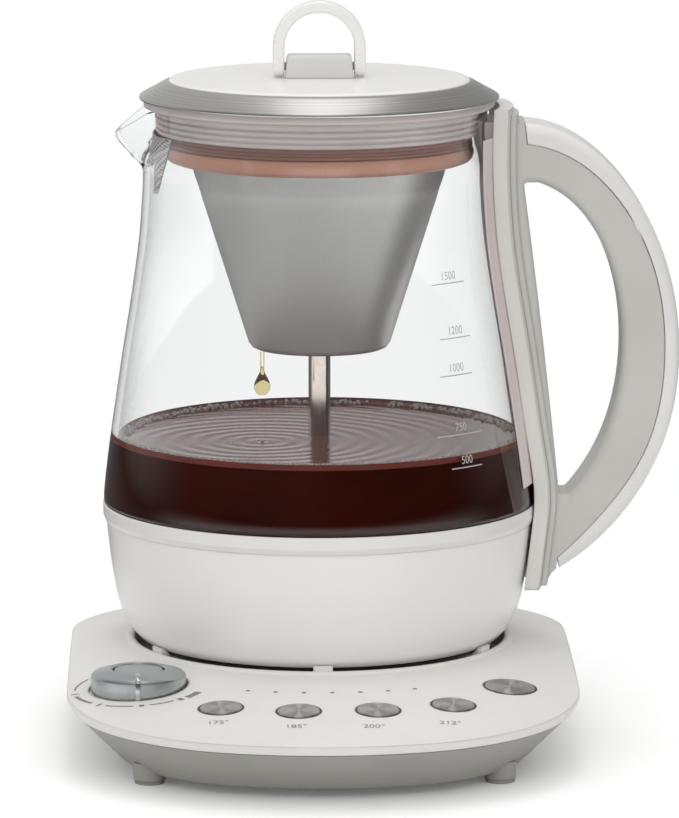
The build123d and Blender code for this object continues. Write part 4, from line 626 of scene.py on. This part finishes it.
ink_pale = moulded("ink_pale_grey", "#bdbbb9", "#b6b4b2", 0.5, 0.5, 0.005)
scale_marks = []
for words, height, left, right in (
    ("1500", 168.9, 35.6, 49.3), ("1200", 149.6, 36.9, 49.3), ("1000", 136.6, 35.6, 48.2),
    ("750", 115.7, 33.0, 49.8), ("500", 104.0, 36.9, 48.2),
):
    scale_marks.append(strip(left, right, height - 0.2, height + 0.2, on_glass))
    middle = (left + right) / 2
    scale_marks.append(figure(
        words, 2.9, 0.9,
        lambda across, up: on_glass(middle + across / radians(glass_radius(height)), height + 1.3 + up),
    ))
take(*scale_marks)
bpy.ops.object.join()
jug_scale = bpy.context.object
jug_scale.name = "jug_scale"
stands_for(jug_scale, "jug", ink_pale)

# ---------------------------------------------------------------- strainer
# A sheet of bright etched steel mesh bent behind the spout, point down. Its holes
# are drawn coarser than the real ones, so that they show.


def etched(surface, shader, across, up, pitch_mm, hole, web, depth_mm):
    """Rows of fine etched holes, staggered, in a sheet of steel."""
    grid = add_node(surface, "ShaderNodeCombineXYZ", X=across, Y=up)
    tilted = add_node(
        surface, "ShaderNodeMapping", {"Rotation": [0, 0, radians(45)]}, Vector=grid.outputs["Vector"]
    )
    holes = add_node(
        surface,
        "ShaderNodeTexVoronoi",
        {"voronoi_dimensions": "2D", "Scale": 1000 / pitch_mm, "Randomness": 0.0},
        Vector=tilted.outputs["Vector"],
    )
    shade = add_node(
        surface, "ShaderNodeValToRGB", {"stops": [(0.28, hole), (0.42, web)]}, Fac=holes.outputs["Distance"]
    )
    depth = {"Strength": 0.4, "Distance": depth_mm / 1000}
    relief = add_node(surface, "ShaderNodeBump", depth, Height=holes.outputs["Distance"])
    surface.node_tree.links.new(shade.outputs["Color"], shader.inputs["Base Color"])
    surface.node_tree.links.new(relief.outputs["Normal"], shader.inputs["Normal"])


strainer_mesh, strainer_shader = new_surface("strainer_etched_steel", Metallic=0.6, Roughness=0.4)
strainer_place = add_node(strainer_mesh, "ShaderNodeTexCoord").outputs["Object"]
strainer_split = add_node(strainer_mesh, "ShaderNodeSeparateXYZ", Vector=strainer_place)
strainer_across = add_node(
    strainer_mesh, "ShaderNodeMath", {"operation": "MULTIPLY"}, strainer_split.outputs["Y"], 0.6
)
etched(
    strainer_mesh, strainer_shader, strainer_across.outputs["Value"], strainer_split.outputs["Z"], 1.2,
    "#757473", "#e9e8e6", 0.1,
)
dress("spout_strainer", strainer_mesh)

# ---------------------------------------------------------------- handle
# The frame is a warm grey plate on a pale pink silicone pad, whose lip shows beside
# it. The grip is moulded in light grey with a soft satin face, and a whiter cover
# closes its outer side.

frame_warm = moulded("frame_warm_grey_abs", "#e1deda", "#dad7d2", 0.35, 0.8, 0.02, 0.8)
dress("handle_frame", frame_warm)
pad_pink = moulded("pad_pink_silicone", "#f1e3df", "#ecdcd7", 0.45, 0.8, 0.02, 0.5)
dress("handle_pad", pad_pink)
grip_satin = moulded("grip_satin_grey_abs", "#cbcac5", "#c3c2bc", 0.4, 0.8, 0.02, 1.2)
dress("handle_grip", grip_satin)
cover_satin = moulded("cover_satin_white_abs", "#e9e7e4", "#e3e1de", 0.3, 0.8, 0.015, 0.8)
dress("handle_cover", cover_satin)
frame_half_width = 18.8
lip_width, lip_tuck, lip_wall = 3.5, 0.4, 0.9
neck_clearing = 63.7  # the lip runs straight on past the neck, where the glass draws in


def beside_frame(height, share):
    """Lays a strip on the glass along the frame: height in mm, share of its width."""
    radius = max(glass_radius(height), neck_clearing) + 0.5
    x = sqrt(radius**2 - frame_half_width**2) + lip_tuck - lip_width * share
    return x, -sqrt(radius**2 - x**2), height


pad_lip = strip(91.0, 217.0, 0.0, 1.0, beside_frame, 48)
pad_lip.name = "handle_pad_lip"
take(pad_lip)
wall = pad_lip.modifiers.new("wall", "SOLIDIFY")
wall.thickness = lip_wall / 1000
wall.offset = 0.0
bpy.ops.object.modifier_apply(modifier="wall")
bpy.ops.object.mode_set(mode="EDIT")
bpy.ops.mesh.select_all(action="SELECT")
bpy.ops.mesh.normals_make_consistent(inside=False)
bpy.ops.object.mode_set(mode="OBJECT")
rounded(pad_lip, 0.35, 3, 50)
smooth(pad_lip, 50)
lip_pink = moulded("lip_pink_silicone", "#dfd2d1", "#d7c9c8", 0.35, 0.8, 0.02)
stands_for(pad_lip, "jug", lip_pink)

# ---------------------------------------------------------------- lid
# A spun steel rim, brushed round, holds a white disc with a soft edge. A grey seat
# ring lies under it. The core below is white too, with a milky ribbed silicone
# gasket, and under the gasket a brown band that is painted shade: it stands for the
# shaded upper part of the pink brewing ring.

lid_outline = [
    (62.9, 229.45), (64.2, 229.5), (64.8, 229.75), (65.0, 230.15), (64.9, 230.6), (64.4, 231.0),
    (60.5, 233.1), (56.8, 235.2), (55.4, 235.8), (54.6, 236.0), (51.0, 236.0), (51.0, 234.8),
    (54.3, 234.8), (62.9, 230.0),
]
rim_brushed, rim_shader = new_surface("rim_brushed_steel", Metallic=1.0, Roughness=0.26, Anisotropic=0.6)
lathe_rings(rim_brushed, rim_shader, (0, 0), 0.6, "#c4c3c1", "#b4b3b1")
lid_rim = turned("lid_rim", lid_outline, steps=192)
smooth(lid_rim, 40)
stands_for(lid_rim, "lid", rim_brushed, "lid_steel", "lid_cap")

seat_grey = moulded("seat_grey_silicone", "#d2c9c6", "#c8bfbc", 0.35, 0.8, 0.012)
lid_seat = turned("lid_seat_ring", [
    (59.8, 227.0), (63.2, 227.0), (63.45, 227.25), (63.45, 228.0), (63.2, 228.3), (63.2, 229.45),
    (62.9, 229.45), (62.9, 228.1), (59.8, 228.1),
], steps=160)
smooth(lid_seat, 50)
stands_for(lid_seat, "lid", seat_grey)

lid_white = moulded("lid_white_abs", "#efeeeb", "#ebeae6", 0.3, 0.8, 0.012)
lid_disc = turned("lid_disc_white", [
    (0, 233.0), (50.6, 233.0), (50.6, 236.05), (54.4, 236.05), (54.3, 236.3), (54.0, 236.55),
    (53.4, 236.78), (52.6, 236.92), (51.4, 237.0), (0, 237.0),
], steps=128)
smooth(lid_disc, 60)
stands_for(lid_disc, "lid", lid_white, "lid_white", "lid_disc")
dress("lid_core", lid_white)
gasket_milky, gasket_shader = new_surface(
    "gasket_milky_silicone", Roughness=0.25, IOR=1.41, Transmission_Weight=0.2
)
gasket_place = add_node(gasket_milky, "ShaderNodeTexCoord").outputs["Object"]
gasket_cloud = add_node(
    gasket_milky, "ShaderNodeTexNoise", {"Scale": 1000 / 20, "Detail": 2.0}, Vector=gasket_place
)
gasket_stops = {"stops": [(0.3, "#e8dcd9"), (0.7, "#efe3e0")]}
gasket_shade = add_node(gasket_milky, "ShaderNodeValToRGB", gasket_stops, Fac=gasket_cloud.outputs["Fac"])
gasket_milky.node_tree.links.new(gasket_shade.outputs["Color"], gasket_shader.inputs["Base Color"])
gasket = turned("gasket_ribbed", [
    (54.75, 217.55), (56.2, 217.55), (57.1, 217.75), (57.5, 218.2), (57.5, 218.8), (57.1, 219.2),
    (56.3, 219.4), (56.3, 219.7), (57.3, 219.95), (57.7, 220.4), (57.7, 221.0), (57.3, 221.4),
    (56.4, 221.6), (56.4, 221.9), (57.5, 222.15), (57.9, 222.6), (57.9, 223.2), (57.5, 223.6),
    (56.6, 223.8), (56.6, 224.1), (57.7, 224.4), (58.05, 224.8), (58.05, 226.3), (57.7, 226.75),
    (54.75, 226.75),
], steps=160)
smooth(gasket, 50)
stands_for(gasket, "lid", gasket_milky, "gasket_silicone", "lid_gasket")
# A brown band under the gasket: painted shade standing for the shaded upper part of the pink brewing ring.
band_painted_shade = moulded("band_painted_shade_brown", "#9a6658", "#8a594b", 0.3, 0.8, 0.02)
band = turned("lid_painted_shade_band", [
    (54.75, 213.3), (55.1, 213.3), (55.3, 213.6), (55.3, 214.3), (55.1, 214.6), (54.9, 214.7),
    (54.9, 214.85), (55.1, 214.95), (55.2, 215.3), (55.1, 215.75), (54.85, 215.85), (54.85, 216.0),
    (54.95, 216.1), (55.0, 216.6), (54.9, 217.1), (54.75, 217.3),
], steps=160)
smooth(band, 60)
stands_for(band, "lid", band_painted_shade)

# ---------------------------------------------------------------- bail
# Metal bow with rounded feet, painted a smooth soft white, on a steel pin. Its block
# is satin grey ABS with a soft top.

bail_paint = moulded("bail_white_paint", "#f6f4f2", "#f1efed", 0.28, 1.2, 0.01)
bow_springs, bow_foot = 248.0, 237.36
bow_outside, bow_inside, bow_half_depth = 16.7, 12.6, 3.75
arc = [pi * step / 32 for step in range(33)]
bow_outer = [(bow_outside * cos(angle), bow_springs + bow_outside * sin(angle)) for angle in arc]
bow_inner = [(-bow_inside * cos(angle), bow_springs + bow_inside * sin(angle)) for angle in arc]
left_foot = [(-bow_outside, bow_foot), (-bow_inside, bow_foot)]
right_foot = [(bow_inside, bow_foot), (bow_outside, bow_foot)]
bail = slab(
    "bail_bow",
    bow_outer + left_foot + bow_inner + right_foot,
    -bow_half_depth,
    bow_half_depth,
    lambda side, up, depth: (side, depth, up),
)
bpy.ops.object.mode_set(mode="EDIT")
bpy.ops.mesh.select_mode(type="EDGE")
bpy.ops.mesh.select_all(action="DESELECT")
bpy.ops.object.mode_set(mode="OBJECT")
for edge in bail.data.edges:
    one, two = (bail.data.vertices[place].co for place in edge.vertices)
    at_foot = max(one.z, two.z) < (bow_foot + 0.04) / 1000
    edge.select = at_foot and abs(one.y - two.y) < 1e-5
bpy.ops.object.mode_set(mode="EDIT")
bpy.ops.mesh.bevel(offset=0.00365, segments=7, affect="EDGES")
bpy.ops.object.mode_set(mode="OBJECT")
rounded(bail, 0.8, 3, 40)
smooth(bail, 40)
stands_for(bail, "bail", bail_paint, "bail_metal", "lid_bail")
block_satin = moulded("block_satin_grey_abs", "#dddcd9", "#d7d6d2", 0.35, 0.8, 0.012, 1.0)
dress("bail_block", block_satin)
dress("bail_pin", screw_zinc)

# ---------------------------------------------------------------- brewing basket
# A ring of pink silicone grips the lid and carries a cone of fine etched steel mesh,
# whose holes are drawn coarser than they are. A tube of polished steel, faintly warm
# from the tea around it, runs down its middle.

ring_pink = moulded("ring_pink_silicone", "#d59b83", "#cc9079", 0.4, 0.8, 0.02)
ring = turned("brewing_ring", [
    (50.4, 206.7), (52.6, 206.8), (54.2, 207.4), (55.2, 208.5), (55.7, 210.2), (55.7, 211.4),
    (55.4, 212.5), (54.9, 212.95), (51.4, 213.0), (47.6, 213.0), (47.6, 208.3), (50.3, 208.3),
    (50.3, 207.1),
], steps=160)
smooth(ring, 60)
stands_for(ring, "infuser", ring_pink, "ring_silicone", "infuser_ring")

basket_mesh, basket_shader = new_surface("basket_etched_mesh", Metallic=0.5, Roughness=0.42)
basket_place = add_node(basket_mesh, "ShaderNodeTexCoord").outputs["Object"]
basket_split = add_node(basket_mesh, "ShaderNodeSeparateXYZ", Vector=basket_place)
basket_side, basket_depth, basket_up = basket_split.outputs
basket_turn = add_node(
    basket_mesh, "ShaderNodeMath", {"operation": "ARCTAN2"}, basket_depth, basket_side
).outputs["Value"]
mean_radius = 0.036
basket_round = add_node(
    basket_mesh, "ShaderNodeMath", {"operation": "MULTIPLY"}, basket_turn, mean_radius
).outputs["Value"]
etched(basket_mesh, basket_shader, basket_round, basket_up, 0.55, "#b4b3b1", "#d0cfcd", 0.02)
basket = turned("brewing_basket", [
    (4.1, 138.7), (23.4, 138.7), (24.7, 139.3), (25.8, 140.9), (46.8, 207.4), (50.1, 207.4),
    (50.1, 208.2), (46.2, 208.2), (25.1, 141.3), (24.2, 139.9), (23.1, 139.5), (4.1, 139.5),
], steps=160)
smooth(basket)
stands_for(basket, "infuser", basket_mesh, "basket_steel", "infuser_basket")
tube_polished = metal("tube_polished_steel", "#dfd3ca", "#d3c7be", 0.14, 2.0, 0.01)
for node in ("riser_tube", "spray_head"):
    dress(node, tube_polished)

# ---------------------------------------------------------------- tea
# Black tea, opaque at this depth. It climbs the glass a little, drips from the
# basket send rings across it, and bubbles gather along its edge.

tea_level = 106.0
drip_x, drip_y = -20.9, -13.0
tea_dark, tea_shader = new_surface("tea_black_brew", Roughness=0.5, Specular_IOR_Level=0.0)
tea_place = add_node(tea_dark, "ShaderNodeTexCoord").outputs["Object"]
tea_cloud = add_node(tea_dark, "ShaderNodeTexNoise", {"Scale": 1000 / 60, "Detail": 2.0}, Vector=tea_place)
tea_stops = {"stops": [(0.3, "#2e0a03"), (0.7, "#420f03")]}
tea_shade = add_node(tea_dark, "ShaderNodeValToRGB", tea_stops, Fac=tea_cloud.outputs["Fac"])
tea_dark.node_tree.links.new(tea_shade.outputs["Color"], tea_shader.inputs["Base Color"])
tea_foot = [(0, 78.2), (68.2, 78.2), (71.2, 79.2)]
tea_side = [(r + 0.25, z) for r, z in glass_inner if 80.5 < z < tea_level - 1.0]
tea_top = [(73.9, tea_level - 0.2), (0, tea_level - 0.2)]
tea = turned("tea", tea_foot + tea_side + tea_top, steps=160)
smooth(tea, 60)
stands_for(tea, "jug", tea_dark)

tea_gloss, gloss_shader = new_surface("tea_surface", Roughness=0.04, IOR=1.33)
gloss_shader.inputs["Base Color"].default_value = tone("#742616")
gloss_place = add_node(tea_gloss, "ShaderNodeTexCoord").outputs["Object"]
gloss_local = add_node(
    tea_gloss, "ShaderNodeMapping", {"Location": [-drip_x / 1000, -drip_y / 1000, 0]}, Vector=gloss_place
)
ripple_mm = 7
ripples = {"wave_type": "RINGS", "rings_direction": "Z", "Scale": tau / (20 * ripple_mm / 1000)}
gloss_rings = add_node(
    tea_gloss,
    "ShaderNodeTexWave",
    {**ripples, "Distortion": 1.5, "Detail": 1.0},
    Vector=gloss_local.outputs["Vector"],
)
gloss_reach = add_node(
    tea_gloss, "ShaderNodeVectorMath", {"operation": "LENGTH"}, gloss_local.outputs["Vector"]
)
gloss_calm = add_node(
    tea_gloss,
    "ShaderNodeMapRange",
    {"From Min": 0.112, "From Max": 0.16, "To Min": 1.0, "To Max": 0.15},
    Value=gloss_reach.outputs["Value"],
)
gloss_height = add_node(
    tea_gloss,
    "ShaderNodeMath",
    {"operation": "MULTIPLY"},
    gloss_rings.outputs["Fac"],
    gloss_calm.outputs["Result"],
)
gloss_relief = add_node(
    tea_gloss, "ShaderNodeBump", {"Strength": 0.5, "Distance": 0.0003}, Height=gloss_height.outputs["Value"]
)
tea_gloss.node_tree.links.new(gloss_relief.outputs["Normal"], gloss_shader.inputs["Normal"])
tea_surface = turned("tea_surface", [
    (0, tea_level), (68.0, tea_level), (71.0, tea_level + 0.1), (72.6, tea_level + 0.5),
    (73.4, tea_level + 1.1), (73.75, tea_level + 1.9), (73.9, tea_level + 0.4), (73.9, tea_level - 0.1),
    (0, tea_level - 0.1),
], steps=160)
smooth(tea_surface, 60)
stands_for(tea_surface, "jug", tea_gloss)

bubble_film, bubble_shader = new_surface("bubble_film", Transmission_Weight=0.4, IOR=1.33, Roughness=0.05)
bubble_shader.inputs["Base Color"].default_value = tone("#e6dad5")
chance = Random(11)
froth = [(angle, chance.uniform(-0.3, 1.4), chance.uniform(0.4, 0.75)) for angle in range(-88, 90)]
clusters = ((110, 158, 90), (160, 196, 46), (203, 240, 80), (92, 112, 26), (238, 264, 60))
for start, end, count in clusters:
    for _ in range(count):
        froth.append((chance.uniform(start, end), chance.uniform(-0.2, 3.4), chance.uniform(0.4, 0.85)))
bpy.ops.object.select_all(action="DESELECT")
bpy.ops.mesh.primitive_ico_sphere_add(
    subdivisions=2, radius=0.0006, location=(drip_x / 1000, drip_y / 1000, (tea_level + 0.2) / 1000)
)
bubbles = bpy.context.object
bubbles.name = "tea_bubbles"
bpy.ops.object.transform_apply(location=True)
bpy.ops.object.mode_set(mode="EDIT")
for angle, inset, size in froth:
    out = 73.3 - inset - size
    climb = 1.7 if abs(angle) <= 90 else 0.7
    place = (
        -out * sin(radians(angle)), -out * cos(radians(angle)), tea_level + climb - 0.2 * inset + 0.3 * size,
    )
    bpy.ops.mesh.primitive_ico_sphere_add(
        subdivisions=2, radius=size / 1000, location=Vector(place) / 1000
    )
bpy.ops.object.mode_set(mode="OBJECT")
smooth(bubbles, 60)
stands_for(bubbles, "jug", bubble_film)

drip_amber, drip_shader = new_surface("drip_amber", Transmission_Weight=1.0, IOR=1.1, Roughness=0.0)
drip_shader.inputs["Base Color"].default_value = tone("#dccd9a")
drop = turned("tea_drop", [
    (0, 122.9), (1.3, 123.15), (2.3, 124.0), (2.9, 125.2), (3.0, 126.3), (2.7, 127.7), (2.0, 129.3),
    (1.2, 130.7), (0.75, 131.9), (0.5, 133.2), (0, 133.6),
], (drip_x, drip_y), 32)
strand_outline = [(0, 131.8), (0.22, 131.8), (0.3, 138.8), (0, 138.8)]
strands = [turned("tea_strand", strand_outline, (drip_x + side, drip_y), 12) for side in (-0.5, 0.6)]
take(*strands, drop)
bpy.ops.object.join()
drop.name = "tea_drop"
smooth(drop, 60)
stands_for(drop, "infuser", drip_amber)

# ---------------------------------------------------------------- floor, lights, camera
# A pale studio sweep that fades into the white around it, large soft lamps, and a
# long lens. What mirrors sees darker walls than the camera does, as in a tent.

bpy.ops.object.select_all(action="DESELECT")
bpy.ops.mesh.primitive_circle_add(vertices=64, radius=3.0, fill_type="NGON")
floor = bpy.context.object
floor.name = "floor"
floor_paper, floor_shader = new_surface("floor_paper", Roughness=0.9)
floor_shader.inputs["Base Color"].default_value = tone("#fcfcfc")
floor_shader.inputs["Specular IOR Level"].default_value = 0.0
floor_shader.inputs["Emission Color"].default_value = (1, 1, 1, 1)
floor_seen = add_node(floor_paper, "ShaderNodeLightPath")
floor_lift = add_node(
    floor_paper, "ShaderNodeMath", {"operation": "MULTIPLY"}, floor_seen.outputs["Is Camera Ray"], 0.1
)
floor_paper.node_tree.links.new(floor_lift.outputs["Value"], floor_shader.inputs["Emission Strength"])
floor_place = add_node(floor_paper, "ShaderNodeTexCoord").outputs["Object"]
floor_reach = add_node(floor_paper, "ShaderNodeVectorMath", {"operation": "LENGTH"}, floor_place)
floor_fade = add_node(
    floor_paper,
    "ShaderNodeMapRange",
    {"From Min": 0.16, "From Max": 0.34, "interpolation_type": "SMOOTHSTEP"},
    Value=floor_reach.outputs["Value"],
)
floor_clear = add_node(floor_paper, "ShaderNodeBsdfTransparent")
floor_mix = add_node(
    floor_paper, "ShaderNodeMixShader", None, floor_fade.outputs["Result"], floor_shader.outputs[0],
    floor_clear.outputs[0],
)
floor_paper.node_tree.links.new(
    floor_mix.outputs[0], floor_paper.node_tree.nodes["Material Output"].inputs["Surface"]
)
floor.data.materials.append(floor_paper)

scene = bpy.context.scene
world = bpy.data.worlds.new("studio")
scene.world = world
world.use_nodes = True
wall_light = world.node_tree.nodes["Background"]
wall_light.inputs["Color"].default_value = (1, 1, 1, 1)
sees = add_node(world, "ShaderNodeLightPath")
way = add_node(world, "ShaderNodeTexCoord").outputs["Generated"]
way_split = add_node(world, "ShaderNodeSeparateXYZ", Vector=way)


def wall_part(axis, start, end, at_start, at_end):
    """A level of the studio walls that changes softly along one axis."""
    levels = {"From Min": start, "From Max": end, "To Min": at_start, "To Max": at_end}
    levels["interpolation_type"] = "SMOOTHSTEP"
    return add_node(world, "ShaderNodeMapRange", levels, Value=way_split.outputs[axis]).outputs["Result"]


def combined(operation, one, other):
    """Two wall levels put together."""
    return add_node(world, "ShaderNodeMath", {"operation": operation}, one, other).outputs["Value"]


# What metal and gloss mirror: the wall behind, brighter to the left, the table edge
# in front, the table below and the lamps' tent above.
behind = combined("MULTIPLY", wall_part("Y", -0.3, 0.6, 0.06, 0.52), wall_part("Z", -0.1, 0.04, 0.0, 1.0))
behind = combined("MULTIPLY", behind, wall_part("X", -0.2, 0.2, 1.35, 0.8))
behind = combined("MULTIPLY", behind, wall_part("Z", 0.05, 0.3, 1.25, 0.85))
in_front = combined("MULTIPLY", wall_part("Z", -0.12, 0.0, 1.3, 0.0), wall_part("Z", -0.5, -0.25, 0.75, 1.0))
in_front = combined("MULTIPLY", in_front, wall_part("Y", -0.4, 0.3, 1.0, 0.1))
beneath = combined("MULTIPLY", wall_part("Z", -0.42, -0.2, 1.0, 0.0), wall_part("X", -0.6, 0.6, 0.5, 1.6))
above = wall_part("Z", 0.35, 0.9, 0.0, 0.4)
mirrored = combined("MAXIMUM", combined("MAXIMUM", behind, in_front), combined("MAXIMUM", beneath, above))
# What lights matt surfaces: brighter above and in front, darker to both sides.
room = combined("MULTIPLY", wall_part("Z", -0.2, 0.8, 0.67, 1.12), wall_part("Y", -0.7, 0.7, 1.12, 0.8))
room = combined("MULTIPLY", room, wall_part("X", -1.0, -0.3, 0.62, 1.0))
room = combined("MULTIPLY", room, wall_part("X", 0.3, 1.0, 1.0, 0.5))
# The camera sees plain white, straight or through the glass.
seen_plain = combined("LESS_THAN", sees.outputs["Glossy Depth"], 0.5)
through_glass = combined("LESS_THAN", sees.outputs["Transmission Depth"], 3.5)
straight = combined("MAXIMUM", seen_plain, through_glass)
clear = combined("MULTIPLY", sees.outputs["Is Transmission Ray"], straight)
plain = combined("MAXIMUM", sees.outputs["Is Camera Ray"], clear)
shiny = combined("MAXIMUM", sees.outputs["Is Glossy Ray"], sees.outputs["Is Transmission Ray"])
lit = add_node(world, "ShaderNodeMix", {"data_type": "FLOAT"})
for place, level in ((0, shiny), (2, room), (3, mirrored)):
    world.node_tree.links.new(level, lit.inputs[place])
world.node_tree.links.new(combined("MAXIMUM", plain, lit.outputs[0]), wall_light.inputs["Strength"])


def softbox(name, place, aim, width, height, brightness):
    """A large lamp at a place, aimed at a point, both in metres, that fades towards its edges."""
    lamp = bpy.data.lights.new(name, "AREA")
    lamp.shape = "RECTANGLE"
    lamp.size, lamp.size_y = width, height
    lamp.energy = pi * width * height * brightness
    lamp.use_nodes = True
    glow = lamp.node_tree.nodes["Emission"]
    face = add_node(lamp, "ShaderNodeNewGeometry").outputs["Parametric"]
    spread = add_node(lamp, "ShaderNodeSeparateXYZ", Vector=face)
    fades = []
    for side in ("X", "Y"):
        offset = add_node(lamp, "ShaderNodeMath", {"operation": "SUBTRACT"}, spread.outputs[side], 0.5)
        away = add_node(lamp, "ShaderNodeMath", {"operation": "ABSOLUTE"}, offset.outputs["Value"])
        levels = {"From Min": 0.2, "From Max": 0.5, "To Min": 1.0, "To Max": 0.0}
        levels["interpolation_type"] = "SMOOTHSTEP"
        fade = add_node(lamp, "ShaderNodeMapRange", levels, Value=away.outputs["Value"])
        fades.append(fade.outputs["Result"])
    whole = add_node(lamp, "ShaderNodeMath", {"operation": "MULTIPLY"}, *fades)
    lamp.node_tree.links.new(whole.outputs["Value"], glow.inputs["Strength"])
    stand = bpy.data.objects.new(name, lamp)
    scene.collection.objects.link(stand)
    stand.location = place
    stand.rotation_euler = (Vector(aim) - Vector(place)).to_track_quat("-Z", "Y").to_euler()


softbox("lamp_left", (-1.2, -0.95, 0.85), (0, 0, 0.2), 0.3, 1.2, 0.4)
softbox("lamp_right", (1.15, -0.9, 0.85), (0, 0, 0.2), 0.4, 1.2, 0.4)
softbox("lamp_top", (0.02, 0.25, 1.4), (0, 0.02, 0.1), 0.6, 1.7, 1.5)
softbox("lamp_front", (0, -1.5, 1.3), (0, 0, 0.15), 1.8, 0.9, 0.9)

camera = bpy.data.cameras.new("camera")
camera.sensor_fit = "VERTICAL"
camera.sensor_height = 36.0
camera.lens = 266.1
camera.clip_start = 0.1
viewpoint = bpy.data.objects.new("camera", camera)
scene.collection.objects.link(viewpoint)
azimuth, look_down = radians(-1.25), radians(9.5)
distance, aside, eye_height = 2.1715, 0.0073, 0.479
viewpoint.location = (
    distance * sin(azimuth) + aside * cos(azimuth),
    -distance * cos(azimuth) + aside * sin(azimuth),
    eye_height,
)
viewpoint.rotation_euler = (pi / 2 - look_down, 0, azimuth)
scene.camera = viewpoint

scene.view_settings.view_transform = "Standard"
